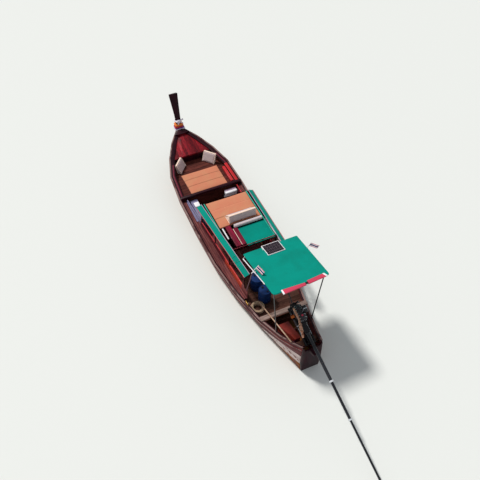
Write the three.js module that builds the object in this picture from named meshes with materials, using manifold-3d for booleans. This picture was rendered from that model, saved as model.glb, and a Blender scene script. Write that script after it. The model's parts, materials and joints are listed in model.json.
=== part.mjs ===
// Wooden longtail boat, 9.7 m of hull and a 5 m tail shaft. Millimetres.
// +X is forward, +Y is port, +Z is up. The origin is on the waterline and the centreline.
import * as THREE from "three";
import { mergeVertices } from "three/addons/utils/BufferGeometryUtils.js";
import Module from "manifold-3d";

const wasm = await Module();
wasm.setup();

// Driving dimensions
const GAP = 0.3; // between pieces that touch
const PLANK = 32; // side planking
const BOTTOM = 30; // bottom planking
const KEEL_HALF = 40;
const KEEL_DEPTH = 80;
const RAIL = 22; // how far the rub rail stands out

// Hull stations from bow to stern. Each line has its own x, because the stem rakes.
// columns: sheer x, y, z; side knuckle x, y, z; bilge x, y, z; keel x, z
const STATIONS = [
  [5000, 158, 1140, 4780, 100, 740, 4500, 55, 330, 4330, 130],
  [4600, 470, 1040, 4430, 310, 600, 4200, 160, 180, 4060, -20],
  [4000, 800, 906, 3920, 620, 430, 3820, 350, 20, 3760, -140],
  [3300, 1043, 774, 3260, 900, 330, 3220, 610, -60, 3200, -250],
  [2300, 1124, 632, 2300, 1040, 270, 2300, 800, -100, 2300, -310],
  [1000, 1124, 528, 1000, 1075, 220, 1000, 890, -120, 1000, -340],
  [-500, 1121, 511, -500, 1070, 210, -500, 890, -120, -500, -340],
  [-1700, 998, 511, -1700, 960, 210, -1700, 780, -110, -1700, -330],
  [-2900, 769, 522, -2900, 735, 210, -2900, 580, -100, -2900, -290],
  [-3800, 544, 723, -3800, 535, 260, -3800, 400, -70, -3800, -230],
  [-4250, 417, 918, -4250, 430, 330, -4250, 325, -50, -4250, -185],
  [-4630, 301, 1132, -4630, 320, 380, -4630, 270, -20, -4630, -140],
].map(([sx, sy, sz, mx, my, mz, bx, by, bz, kx, kz]) => ({
  sheer: [sx, sy, sz],
  side: [mx, my, mz],
  bilge: [bx, by, bz],
  keel: [kx, 0, kz],
}));
const BOW = STATIONS[0];
const STERN = STATIONS[STATIONS.length - 1];

// Deck layout along the boat
const WELL = { aft: 1200, fore: 2240 };
const LOUNGE = { aft: 2355, fore: 3948, top: 635, thick: 35 };
const FOREDECK_AFT = 3945;
const COAMING = { fore: 2200, aft: -2080, halfFore: 894, halfAft: 735, topFore: 690, topAft: 800 };
const SUN_DECK = { fore: 1185, aft: -950, half: 770, top: 1400 };
// the awnings rise and draw in towards the stern
const AWNING = { fore: 1185, aft: -2060, inner: 811, outer: 975, innerTop: 1413, outerTop: 1342, rise: 200, draw: 125 };
const AFT_DECK = { fore: -1000, aft: -2960, top: 380, thick: 30 };
const ROOF = { fore: -1930, aft: -3750, half: 836, foreTop: 2437, aftTop: 2792, thick: 18 };
const ENGINE_PIVOT = [-4350, 0, 1180];
const TAIL_SLOPE = THREE.MathUtils.degToRad(15.2);
const SHAFT_LINE = 97; // above the tilt pin, in the engine's own frame
const TAIL_END = -5000;
const PROPELLER_RADIUS = 170;

const finish = (color, roughness, metalness = 0) =>
  new THREE.MeshStandardMaterial({ color, roughness, metalness });
const HULL_WOOD = finish(0x6e3838, 0.7);
const DARK_WOOD = finish(0x34101a, 0.5);
const DECK_WOOD = finish(0x7a2628, 0.45);
const WORN_WOOD = finish(0x7a4a40, 0.8);
const RED_PAINT = finish(0xb83030, 0.5);
const WHITE_PAINT = finish(0xe6e2e6, 0.45);
const GREY_PAINT = finish(0x736e8c, 0.6);
const TEAL_CLOTH = finish(0x059687, 0.75);
const MAT_CLOTH = finish(0xd78769, 0.85);
const CUSHION_CLOTH = finish(0xb49a94, 0.9);
const BOLSTER_CLOTH = finish(0xf0e4de, 0.9);
const BOARD_PAINT = finish(0xd74b64, 0.5);
const FLAG_CLOTH = finish(0xd8d8e4, 0.8);
const SOLAR_GLASS = finish(0x1c1c30, 0.2, 0.2);
const DRUM_PLASTIC = finish(0x14326e, 0.4);
const ROPE = finish(0xa89068, 0.95);
const BLACK_IRON = finish(0x1a191c, 0.55, 0.6);
const RUSTY_STEEL = finish(0x9a6a5c, 0.7, 0.5);
const BRONZE = finish(0xa07a3c, 0.35, 0.8);
const POLE_WOOD = finish(0xc8a890, 0.7);

// Geometry helpers
function geometryOf(points, faces) {
  const g = new THREE.BufferGeometry();
  g.setAttribute("position", new THREE.Float32BufferAttribute(points.flat(), 3));
  g.setIndex(faces.flat());
  return g;
}

function signedVolume(points, faces) {
  const a = new THREE.Vector3(), b = new THREE.Vector3(), c = new THREE.Vector3();
  return faces.reduce((sum, [i, j, k]) => {
    a.set(...points[i]);
    b.set(...points[j]);
    c.set(...points[k]);
    return sum + a.dot(b.cross(c)) / 6;
  }, 0);
}

// A closed solid through rings of equally many points, capped at both ends.
// The caps are triangulated as seen along the axis that is left out of SEEN.
const SEEN = { x: [1, 2], y: [0, 2], z: [0, 1] };
function loft(rings, axis = "x") {
  const [u, v] = SEEN[axis];
  const n = rings[0].length;
  const points = rings.flat();
  const faces = [];
  for (let r = 0; r + 1 < rings.length; r++) {
    for (let i = 0; i < n; i++) {
      const j = (i + 1) % n;
      const a = r * n + i, b = r * n + j;
      faces.push([a, b, b + n], [a, b + n, a + n]);
    }
  }
  // a cap runs against the side faces along the first ring and with them along the last
  [[0, false], [(rings.length - 1) * n, true]].forEach(([start, withRing]) => {
    const outline = points.slice(start, start + n).map((p) => new THREE.Vector2(p[u], p[v]));
    const cap = THREE.ShapeUtils.triangulateShape(outline, []);
    const runsForward = cap.some(([i, j, k]) =>
      (i + 1) % n === j || (j + 1) % n === k || (k + 1) % n === i);
    const runsBack = cap.some(([i, j, k]) =>
      (j + 1) % n === i || (k + 1) % n === j || (i + 1) % n === k);
    const same = n === 3 ? cap[0][1] === (cap[0][0] + 1) % 3 : runsForward && !runsBack;
    cap.forEach(([i, j, k]) => {
      faces.push(same === withRing ? [start + i, start + j, start + k] : [start + i, start + k, start + j]);
    });
  });
  const out = signedVolume(points, faces) > 0;
  return geometryOf(points, out ? faces : faces.map(([i, j, k]) => [i, k, j]));
}

const slab = (x0, x1, y0, y1, z0, z1) =>
  new THREE.BoxGeometry(x1 - x0, y1 - y0, z1 - z0)
    .translate((x0 + x1) / 2, (y0 + y1) / 2, (z0 + z1) / 2);

// A round bar from a to b.
function bar(a, b, radius, sides = 12, endRadius = radius) {
  const from = new THREE.Vector3(...a), to = new THREE.Vector3(...b);
  const along = to.clone().sub(from);
  const turn = new THREE.Quaternion().setFromUnitVectors(
    new THREE.Vector3(0, 1, 0), along.clone().normalize());
  return new THREE.CylinderGeometry(endRadius, radius, along.length(), sides)
    .applyQuaternion(turn)
    .translate(...from.add(to).multiplyScalar(0.5).toArray());
}

// A round pipe through points, on a smooth curve.
function pipe(points, radius, sides = 10, steps = 8 * points.length) {
  const path = new THREE.CatmullRomCurve3(points.map((p) => new THREE.Vector3(...p)), false, "centripetal");
  const ring = new THREE.Shape();
  for (let i = 0; i < sides; i++) {
    const t = (2 * Math.PI * i) / sides;
    const at = [radius * Math.cos(t), radius * Math.sin(t)];
    if (i) ring.lineTo(...at);
    else ring.moveTo(...at);
  }
  return new THREE.ExtrudeGeometry(ring, { steps, extrudePath: path });
}

// An outline pushed out along an axis: [x, z] points along "y", [y, z] along "x" and [x, y] along "z".
function profile(points, from, to, axis = "y") {
  const place = {
    x: (u, v, w) => [w, u, v],
    y: (u, v, w) => [u, w, v],
    z: (u, v, w) => [u, v, w],
  }[axis];
  return loft([from, to].map((w) => points.map(([u, v]) => place(u, v, w))), axis);
}

// A pad with rounded edges all round.
function pad(x0, x1, y0, y1, z0, z1, soft = 22) {
  const r = Math.min(soft, (z1 - z0) * 0.45);
  const outline = new THREE.Shape();
  const [a, b, c, d] = [x0 + r, x1 - r, y0 + r, y1 - r];
  const corner = 30;
  outline.moveTo(a + corner, c);
  outline.lineTo(b - corner, c);
  outline.absarc(b - corner, c + corner, corner, -Math.PI / 2, 0);
  outline.lineTo(b, d - corner);
  outline.absarc(b - corner, d - corner, corner, 0, Math.PI / 2);
  outline.lineTo(a + corner, d);
  outline.absarc(a + corner, d - corner, corner, Math.PI / 2, Math.PI);
  outline.lineTo(a, c + corner);
  outline.absarc(a + corner, c + corner, corner, Math.PI, 1.5 * Math.PI);
  return new THREE.ExtrudeGeometry(outline, {
    depth: z1 - z0 - 2 * r, bevelThickness: r, bevelSize: r, bevelSegments: 3, curveSegments: 3,
  }).translate(0, 0, z0 + r);
}

function solid(geometry) {
  const bare = geometry.clone();
  Object.keys(bare.attributes).filter((k) => k !== "position").forEach((k) => bare.deleteAttribute(k));
  const merged = mergeVertices(bare, 1e-3);
  return new wasm.Manifold(new wasm.Mesh({
    numProp: 3,
    vertProperties: merged.attributes.position.array,
    triVerts: new Uint32Array(merged.index.array),
  }));
}

function surface(made) {
  const m = made.getMesh();
  const points = [];
  for (let i = 0; i < m.numVert; i++) {
    points.push([...m.vertProperties.subarray(i * m.numProp, i * m.numProp + 3)]);
  }
  const faces = [];
  for (let i = 0; i < m.triVerts.length; i += 3) faces.push([...m.triVerts.subarray(i, i + 3)]);
  return geometryOf(points, faces);
}

const biggest = (made) => made.decompose().sort((a, b) => b.volume() - a.volume())[0];
const join = (...gs) => surface(gs.map(solid).reduce((a, b) => a.add(b)));
const cut = (g, ...tools) => surface(biggest(tools.map(solid).reduce((a, b) => a.subtract(b), solid(g))));
const mirrored = (g) => {
  const m = g.clone().scale(1, -1, 1);
  const index = m.index ? [...m.index.array] : [...m.attributes.position.array.keys()].slice(0, m.attributes.position.count);
  for (let i = 0; i < index.length; i += 3) [index[i + 1], index[i + 2]] = [index[i + 2], index[i + 1]];
  m.setIndex(index);
  return m;
};

const boat = new THREE.Group();
function piece(name, geometry, material, parent = boat) {
  const mesh = new THREE.Mesh(geometry, material);
  mesh.name = name;
  parent.add(mesh);
  return mesh;
}

// The hull's own lines
function along(line, x) {
  const pts = STATIONS.map((s) => s[line]);
  for (let i = 0; i + 1 < pts.length; i++) {
    const [x0, y0, z0] = pts[i], [x1, y1, z1] = pts[i + 1];
    if (x >= x1 || i + 2 === pts.length) {
      const t = THREE.MathUtils.clamp((x0 - x) / (x0 - x1), 0, 1);
      return { y: y0 + (y1 - y0) * t, z: z0 + (z1 - z0) * t };
    }
  }
}
const sheerAt = (x) => along("sheer", x);

const bottomSlope = ({ bilge, keel }) => (bilge[2] - keel[2]) / Math.max(bilge[1] - KEEL_HALF, 10);
const bilgeInset = (s) => THREE.MathUtils.clamp(BOTTOM / bottomSlope(s), 22, 120);
const keelInner = (s) => Math.min(KEEL_HALF, s.bilge[1] - bilgeInset(s) - 5);

// Planking
const sideRing = ({ sheer: [sx, sy, sz], side: [mx, my, mz], bilge: [bx, by, bz] }) => {
  const lower = (down, out) => {
    const t = down / (sz - mz);
    return [sx + (mx - sx) * t, sy + (my - sy) * t + out, sz - down];
  };
  return [
    [sx, sy, sz],
    lower(85, 0),
    lower(90, RAIL),
    lower(128, RAIL),
    lower(133, 0),
    [mx, my, mz],
    [bx, by, bz],
    [bx, by - PLANK, bz],
    [mx, my - PLANK, mz],
    [sx, sy - PLANK, sz],
  ];
};
const sidePort = loft(STATIONS.map(sideRing));
const sideStarboard = mirrored(sidePort);

const bottomRing = (s) => {
  const { bilge: [bx, by, bz], keel: [kx, , kz] } = s;
  const top = bz - GAP;
  const inner = by - bilgeInset(s), flat = keelInner(s);
  const half = [
    [bx, by, top],
    [kx, KEEL_HALF, kz],
  ];
  const back = [
    [kx, flat, kz + BOTTOM],
    [bx, inner, top],
  ];
  const flip = ([x, y, z]) => [x, -y, z];
  return [...half, ...[...half].reverse().map(flip), ...[...back].reverse().map(flip), ...back];
};
const bottom = loft(STATIONS.map(bottomRing));

// The space inside the planking, to which floors, ribs and beams are shaped.
const holdRing = (s) => {
  const { sheer: [sx, sy, sz], side: [mx, my, mz], bilge: [bx, by, bz], keel: [kx, , kz] } = s;
  const half = [
    [sx, sy - PLANK - GAP, sz],
    [mx, my - PLANK - GAP, mz],
    [bx, by - Math.max(PLANK, bilgeInset(s)) - GAP, bz],
    [kx, keelInner(s), kz + BOTTOM + GAP],
  ];
  return [...half, ...[...half].reverse().map(([x, y, z]) => [x, -y, z])];
};
const hold = solid(loft(STATIONS.map(holdRing)));
const nearPlanks = [
  solid(sidePort), solid(sidePort.clone().translate(0, -GAP, GAP)),
  solid(sideStarboard), solid(sideStarboard.clone().translate(0, GAP, GAP)),
  solid(bottom), solid(bottom.clone().translate(0, 0, GAP)),
];
const offPlanks = (made) => surface(biggest(nearPlanks.reduce((a, b) => a.subtract(b), made)));
const inHold = (g) => offPlanks(solid(g).intersect(hold));

piece("side_planking_port", sidePort, HULL_WOOD);
piece("side_planking_starboard", sideStarboard, HULL_WOOD);
piece("bottom_planking", bottom, HULL_WOOD);
piece("keel", loft(STATIONS.map(({ keel: [x, , z] }) => [
  [x, KEEL_HALF, z - GAP],
  [x, KEEL_HALF * 0.7, z - KEEL_DEPTH],
  [x, -KEEL_HALF * 0.7, z - KEEL_DEPTH],
  [x, -KEEL_HALF, z - GAP],
])), DARK_WOOD);

// Stem, raked forward and flared at its head.
// columns: aft face x, z; forward face x, z; half width
const STEM = [
  [BOW.keel[0] + GAP, 52, 4350, 50, 40],
  [BOW.keel[0] + GAP, BOW.keel[2], 4445, 90, 45],
  [BOW.bilge[0] + GAP, BOW.bilge[2], 4610, 275, 52],
  [BOW.side[0] + GAP, BOW.side[2], 4890, 685, 98],
  [BOW.sheer[0] + GAP, BOW.sheer[2], 5125, 1105, 154],
  [5040, 1235, 5150, 1205, 125],
  [5078, 1335, 5175, 1302, 86],
  [5225, 1690, 5312, 1660, 104],
  [5515, 2368, 5602, 2332, 160],
];
piece("stem_post", loft(STEM.map(([ax, az, fx, fz, w]) => [
  [ax, w, az],
  [fx, w * 0.8, fz],
  [fx, -w * 0.8, fz],
  [ax, -w, az],
]).reverse()), DARK_WOOD);

// Transom behind the planking's ends, with a notch for the tail and a knee that stands aft
const TRANSOM = { thick: 42, notch: 230, notchTop: 985, kneeEnd: -4880 };
const sternX = STERN.sheer[0] - GAP;
const transomHalf = [
  [TRANSOM.notch, TRANSOM.notchTop],
  [TRANSOM.notch + 40, STERN.sheer[2] - 4],
  [STERN.sheer[1] + 2, STERN.sheer[2] - 4],
  [STERN.side[1] + 2, STERN.side[2]],
  [STERN.bilge[1] + 2, STERN.bilge[2]],
  [KEEL_HALF, STERN.keel[2] - KEEL_DEPTH],
];
const transomOutline = [...transomHalf, ...[...transomHalf].reverse().map(([y, z]) => [-y, z])];
const transomPlate = loft([sternX, sternX - TRANSOM.thick].map((x) =>
  transomOutline.map(([y, z]) => [x, y, z])));
const knee = loft([
  [[sternX - 20, 95, 980], [sternX - 20, 95, 840], [sternX - 20, -95, 840], [sternX - 20, -95, 980]],
  [[TRANSOM.kneeEnd, 60, 978], [TRANSOM.kneeEnd, 60, 930], [TRANSOM.kneeEnd, -60, 930], [TRANSOM.kneeEnd, -60, 978]],
]);
piece("transom", join(transomPlate, knee), DARK_WOOD);

// Gunwale caps: broad over the bow, narrow over the side decks
const capWidth = (x) => (x > 2250 ? 200 : 92);
const CAP = { thick: 40, over: 20 };
const capStations = [4985, 4600, 4000, 3300, 2300, 2200, 1000, -500, -1700, -2900, -3800, -4250, -4628];
const capRing = (x) => {
  const { y, z } = sheerAt(x);
  const inner = Math.max(y - capWidth(x) + CAP.over, 60);
  const low = z + GAP, high = low + CAP.thick;
  return [[x, y + CAP.over, low], [x, y + CAP.over, high], [x, inner, high], [x, inner, low]];
};
const capPort = loft(capStations.map(capRing));
piece("gunwale_port", capPort, DARK_WOOD);
piece("gunwale_starboard", mirrored(capPort), DARK_WOOD);
const capInner = (x) => Math.max(sheerAt(x).y - capWidth(x) + CAP.over, 60);

// Frames: keelson, floor timbers, ribs and stringers, all shaped to the planking
const FRAMES = [3500, 2700, 1900, 1100, 300, -500, -1300, -2100, -2900, -3350];
const FRAME_HALF = 28;
const KEELSON_HALF = 60;
const FLOOR_TOP = 20;
const SIDE_DECK_THICK = 24;
function ribTop(x) {
  if (x > WELL.fore) return LOUNGE.top - LOUNGE.thick - GAP;
  if (x > AFT_DECK.fore) return sheerAt(x).z - SIDE_DECK_THICK - 5;
  if (x > AFT_DECK.aft) return AFT_DECK.top - AFT_DECK.thick - GAP;
  return sheerAt(x).z - 2;
}
const RIB = { inset: 45, foot: -20, past: 30 };
function rib(frame, side) {
  const ring = (x) => {
    const s = sheerAt(x), m = along("side", x), b = along("bilge", x);
    const yAt = (z) => {
      const [p, q] = z > m.z ? [m, s] : [b, m];
      return p.y + ((q.y - p.y) * (z - p.z)) / (q.z - p.z);
    };
    const low = Math.max(RIB.foot, b.z + 10), high = Math.min(ribTop(frame), s.z - 2);
    return [
      [x, (yAt(low) + RIB.past) * side, low], [x, (yAt(high) + RIB.past) * side, high],
      [x, (yAt(high) - PLANK - RIB.inset) * side, high], [x, (yAt(low) - PLANK - RIB.inset) * side, low]];
  };
  return loft([ring(frame + FRAME_HALF), ring(frame - FRAME_HALF)]);
}
const stringer = (side, extra = 0) => loft(FRAMES.map((x) => {
  const m = along("side", x);
  const outer = m.y - PLANK + 25, inner = m.y - PLANK - 40 - extra;
  const half = 35 + extra;
  return [[x, outer * side, m.z + half], [x, outer * side, m.z - half],
    [x, inner * side, m.z - half], [x, inner * side, m.z + half]];
}));
const floorTimber = (x) =>
  slab(x - FRAME_HALF, x + FRAME_HALF, -1100, 1100, -400, FLOOR_TOP + Math.max(0, (x - 2700) * 0.12));
piece("frames", inHold(join(
  slab(FRAMES[FRAMES.length - 1], FRAMES[0], -KEELSON_HALF, KEELSON_HALF, -400, -180),
  ...FRAMES.map(floorTimber),
  ...FRAMES.flatMap((x) => [1, -1].map((side) => rib(x, side))),
  stringer(1), stringer(-1),
)), WORN_WOOD);

// Floors and bulkheads
const SOLE_TOP = FLOOR_TOP + GAP + 22;
const ON_SOLE = SOLE_TOP + GAP;
const SOLE_HALF = 755;
piece("sole", slab(AFT_DECK.fore + 5, LOUNGE.aft + 20, -SOLE_HALF, SOLE_HALF, FLOOR_TOP + GAP, SOLE_TOP), WORN_WOOD);
piece("lounge_deck", cut(inHold(join(
  slab(LOUNGE.aft, LOUNGE.fore, -1200, 1200, LOUNGE.top - LOUNGE.thick, LOUNGE.top),
  slab(LOUNGE.aft, LOUNGE.aft + 28, -1200, 1200, ON_SOLE, LOUNGE.top),
)), stringer(1, 3), stringer(-1, 3)), WORN_WOOD);
const DECK_EDGE = 25; // thickness of the foredeck at its sides
const bulkheadTop = sheerAt(FOREDECK_AFT).z - DECK_EDGE - GAP;
piece("bow_bulkhead", inHold(slab(LOUNGE.fore + GAP, LOUNGE.fore + 25, -1200, 1200, -90, bulkheadTop)), DARK_WOOD);
const CROWN = 35;
piece("foredeck", offPlanks(solid(loft([4955, 4600, 4000, FOREDECK_AFT].map((x) => {
  const { y, z } = sheerAt(x);
  const edge = y - PLANK - GAP, rise = Math.max(capInner(x) - 5, 40);
  const half = [[x, edge, z], [x, rise, z], [x, rise * 0.5, z + CROWN * 0.75]];
  const under = [x, edge - 16, z - DECK_EDGE];
  const flip = ([px, py, pz]) => [px, -py, pz];
  return [under, ...half, [x, 0, z + CROWN], ...[...half].reverse().map(flip), flip(under)];
})))), DECK_WOOD);

// Bow lounge
const onLounge = LOUNGE.top + GAP;
piece("bow_mat", pad(2420, 3340, -650, 650, onLounge, 697), MAT_CLOTH);
const WEDGE = { length: 440, face: -180, back: -20, height: 330, x: 3730, y: 575, turn: 48 };
function wedgeCushion(name, side) {
  const { length, face, back, height } = WEDGE;
  const outline = [[face, 0], [back, 0], [45, height - 8], [40, height], [-10, height], [face - 5, 25]];
  const cushion = piece(name, profile(outline, -length / 2, length / 2), CUSHION_CLOTH);
  cushion.position.set(WEDGE.x, side * WEDGE.y, onLounge);
  cushion.rotation.z = THREE.MathUtils.degToRad(side * WEDGE.turn);
}
wedgeCushion("wedge_cushion_port", 1);
wedgeCushion("wedge_cushion_starboard", -1);
piece("side_seat", slab(2400, 3150, -872, -775, onLounge, 738), RED_PAINT);
const crossbeamFoot = sheerAt(2345).z + 2 * GAP + CAP.thick;
piece("crossbeam", slab(2245, 2345, -1085, 1085, crossbeamFoot, crossbeamFoot + 88), DARK_WOOD);

// Well
piece("step_box", pad(2010, 2200, -840, -420, ON_SOLE, 600, 14), WHITE_PAINT);
piece("side_locker", slab(1300, 2200, 560, 800, ON_SOLE, 600), GREY_PAINT);

// Side decks and coamings
const coamingAt = (x) => {
  const t = (COAMING.fore - x) / (COAMING.fore - COAMING.aft);
  return {
    y: COAMING.halfFore + (COAMING.halfAft - COAMING.halfFore) * t,
    top: COAMING.topFore + (COAMING.topAft - COAMING.topFore) * t,
  };
};
const COAMING_HALF = 14;
const COAMING_FOOT = 450;
const coamingPort = loft([COAMING.fore, COAMING.aft].map((x) => {
  const { y, top } = coamingAt(x);
  return [[x, y + COAMING_HALF, COAMING_FOOT], [x, y + COAMING_HALF, top],
    [x, y - COAMING_HALF, top], [x, y - COAMING_HALF, COAMING_FOOT]];
}));
piece("coaming_port", coamingPort, RED_PAINT);
piece("coaming_starboard", mirrored(coamingPort), RED_PAINT);
const sideDeckPort = offPlanks(solid(loft([COAMING.fore, 1000, -500, -1700, COAMING.aft].map((x) => {
  const { y, z } = sheerAt(x);
  const outer = y - PLANK - GAP, inner = coamingAt(x).y + COAMING_HALF + GAP;
  return [[x, outer, z - SIDE_DECK_THICK], [x, outer, z], [x, inner, z], [x, inner, z - SIDE_DECK_THICK]];
}))));
piece("side_deck_port", sideDeckPort, WORN_WOOD);
piece("side_deck_starboard", mirrored(sideDeckPort), WORN_WOOD);

// Low canopy: sloping side boards on a frame of posts and beams
const awningAt = (x) => {
  const t = (AWNING.fore - x) / (AWNING.fore - AWNING.aft);
  return {
    inner: [AWNING.inner - AWNING.draw * t, AWNING.innerTop + AWNING.rise * t],
    outer: [AWNING.outer - AWNING.draw * t, AWNING.outerTop + AWNING.rise * t],
  };
};
const AWNING_THICK = 14;
const awningPort = loft([AWNING.fore, AWNING.aft].map((x) => {
  const { inner: [innerY, innerZ], outer: [outerY, outerZ] } = awningAt(x);
  return [[x, innerY, innerZ], [x, outerY, outerZ],
    [x, outerY, outerZ - AWNING_THICK], [x, innerY, innerZ - AWNING_THICK]];
}));
piece("awning_port", awningPort, TEAL_CLOTH);
piece("awning_starboard", mirrored(awningPort), TEAL_CLOTH);
const BEAM = { inner: 776, outer: 836, deep: 50 };
const beamTop = (x) => {
  const { inner: [innerY, innerZ] } = awningAt(x);
  const slope = (AWNING.innerTop - AWNING.outerTop) / (AWNING.outer - AWNING.inner);
  return innerZ - slope * (BEAM.outer - innerY) - AWNING_THICK - GAP;
};
const CANOPY_POSTS = [1100, 100, -880, -1900];
const sideBeam = (side) => loft([AWNING.fore - 20, AWNING.aft + 20].map((x) => {
  const top = beamTop(x);
  return [[x, side * BEAM.inner, top], [x, side * BEAM.outer, top],
    [x, side * BEAM.outer, top - BEAM.deep], [x, side * BEAM.inner, top - BEAM.deep]];
}));
const canopyPost = (x, side) => {
  const foot = coamingAt(x - 22).top + GAP, head = beamTop(x) - 20;
  const half = 20;
  const ring = (y, w, z) => [[x - half, side * (y - w), z], [x + half, side * (y - w), z],
    [x + half, side * (y + w), z], [x - half, side * (y + w), z]];
  return loft([ring(coamingAt(x).y, COAMING_HALF, foot), ring(806, half, head)], "z");
};
const DECK_BOARD = 22;
const underDeck = SUN_DECK.top - DECK_BOARD - GAP;
piece("canopy_frame", join(
  ...[1, -1].map(sideBeam),
  ...CANOPY_POSTS.flatMap((x) => [1, -1].map((side) => canopyPost(x, side))),
  ...CANOPY_POSTS.slice(0, 3).map((x) => slab(x - 20, x + 20, -800, 800, underDeck - 45, underDeck)),
  slab(-1920, -1880, -800, 800, beamTop(-1900) - 50, beamTop(-1900) - 5),
), DARK_WOOD);

// Sun deck on the canopy
const RAIL_X = SUN_DECK.aft + 13;
const RAIL_UP = 72;
piece("sun_deck", join(
  slab(SUN_DECK.aft, SUN_DECK.fore, -SUN_DECK.half, SUN_DECK.half, SUN_DECK.top - DECK_BOARD, SUN_DECK.top),
  bar([RAIL_X, -760, SUN_DECK.top + RAIL_UP], [RAIL_X, 760, SUN_DECK.top + RAIL_UP], 16),
  ...[-740, 0, 740].map((y) =>
    slab(RAIL_X - 10, RAIL_X + 10, y - 12, y + 12, SUN_DECK.top - 10, SUN_DECK.top + RAIL_UP)),
), DARK_WOOD);
const onDeck = SUN_DECK.top + GAP;
const MAT_TOP = 1470;
piece("sun_mat", pad(20, 1120, -685, 685, onDeck, MAT_TOP), MAT_CLOTH);
const onMat = MAT_TOP + GAP;
piece("backrest", profile([[35, onMat], [385, onMat], [390, onMat + 20], [130, 1757], [78, 1757], [28, onMat + 20]], -540, 360), CUSHION_CLOTH);
const BOLSTER_RADIUS = 66;
const bolsterZ = onDeck + BOLSTER_RADIUS;
piece("bolster", bar([-95, -665, bolsterZ], [-95, 275, bolsterZ], BOLSTER_RADIUS, 16), BOLSTER_CLOTH);
piece("deck_mat", slab(-925, -175, -725, 190, onDeck, onDeck + 8), TEAL_CLOTH);
const BENCH = { aft: -865, fore: -15, short: -175, low: 40, top: 66 };
piece("deck_bench", join(
  slab(BENCH.aft, BENCH.fore, 370, 535, onDeck + BENCH.low, onDeck + BENCH.top),
  slab(BENCH.aft, BENCH.short, 205, 340, onDeck + BENCH.low, onDeck + BENCH.top),
  ...[[-800, 215], [-440, 215], [-80, 380]].map(([x, inner]) =>
    slab(x - 25, x + 25, inner, 525, onDeck, onDeck + BENCH.low + 10)),
), DECK_WOOD);

// Aft deck with its drums and mooring rope
piece("aft_deck", inHold(slab(AFT_DECK.aft, AFT_DECK.fore, -1200, 1200, AFT_DECK.top - AFT_DECK.thick, AFT_DECK.top)), WORN_WOOD);
const onAft = AFT_DECK.top + GAP;
const DRUM = { radius: 190, height: 470, rib: 9 };
function drum(name, x, y) {
  const { radius: r, height: h, rib } = DRUM;
  const outline = [[0, 0], [r - 12, 0], [r, 12], [r, h / 3 - rib], [r + rib, h / 3], [r, h / 3 + rib],
    [r, (2 * h) / 3 - rib], [r + rib, (2 * h) / 3], [r, (2 * h) / 3 + rib], [r, h - 12], [r - 12, h], [0, h]]
    .map(([u, v]) => new THREE.Vector2(u, v));
  piece(name, new THREE.LatheGeometry(outline, 20).rotateX(Math.PI / 2).translate(x, y, onAft), DRUM_PLASTIC);
}
drum("fuel_drum_forward", -1740, 270);
drum("fuel_drum_aft", -2240, 250);

// Mooring rope: made fast on the port cleat, led inboard and coiled on the aft deck
const ROPE_RADIUS = 10;
const CLEAT = { x: -2300, y: 855 };
const capTop = (x) => sheerAt(x).z + GAP + CAP.thick;
const cleatFoot = capTop(CLEAT.x) + 2;
piece("mooring_cleat", join(
  slab(CLEAT.x - 28, CLEAT.x + 28, CLEAT.y - 14, CLEAT.y + 14, cleatFoot - 1.5, cleatFoot + 40),
  bar([CLEAT.x - 90, CLEAT.y, cleatFoot + 48], [CLEAT.x + 90, CLEAT.y, cleatFoot + 48], 13),
), BRONZE);
const COIL = { x: -2480, y: 585, mid: 164.5, wide: 42, high: 124, shoulder: 96, round: 18 };
const coilOutline = [[COIL.mid - COIL.wide, 0], [COIL.mid + COIL.wide, 0], [COIL.mid + COIL.wide, COIL.shoulder],
  [COIL.mid + COIL.wide - COIL.round, COIL.high], [COIL.mid - COIL.wide + COIL.round, COIL.high],
  [COIL.mid - COIL.wide, COIL.shoulder], [COIL.mid - COIL.wide, 0]]
  .map(([u, v]) => new THREE.Vector2(u, v));
piece("rope_coil", new THREE.LatheGeometry(coilOutline, 28).rotateX(Math.PI / 2).translate(COIL.x, COIL.y, onAft), ROPE);
// [x, y, z] of the rope's middle: off the cleat, over the cap's edge, down to the deck, up to the coil's side
const onCap = capTop(CLEAT.x) + ROPE_RADIUS + 1, onAftRope = onAft + ROPE_RADIUS + 0.4;
const ROPE_ROUTE = [
  [-2300, 840.5, onCap], [-2300, 830, onCap], [-2300, 817, onCap + 1], [-2300, 802, 567], [-2300, 792, 545],
  [-2300, 785, 507], [-2301, 779, 465], [-2302, 769, 427], [-2302, 752, 400], [-2302, 731, onAftRope],
  [-2298, 711, onAftRope], [-2291.7, 693.7, onAftRope], [-2278.3, 666.5, onAftRope],
];
piece("rope_lead", pipe(ROPE_ROUTE, ROPE_RADIUS, 8, 22), ROPE);

// Stern: thwart, locker, engine beam and socket
const thwartFoot = sheerAt(-3080).z + 2 * GAP + CAP.thick;
const THWART = 42; // its thickness
piece("aft_thwart", slab(-3080, -2930, -755, 755, thwartFoot, thwartFoot + THWART), WORN_WOOD);
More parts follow.
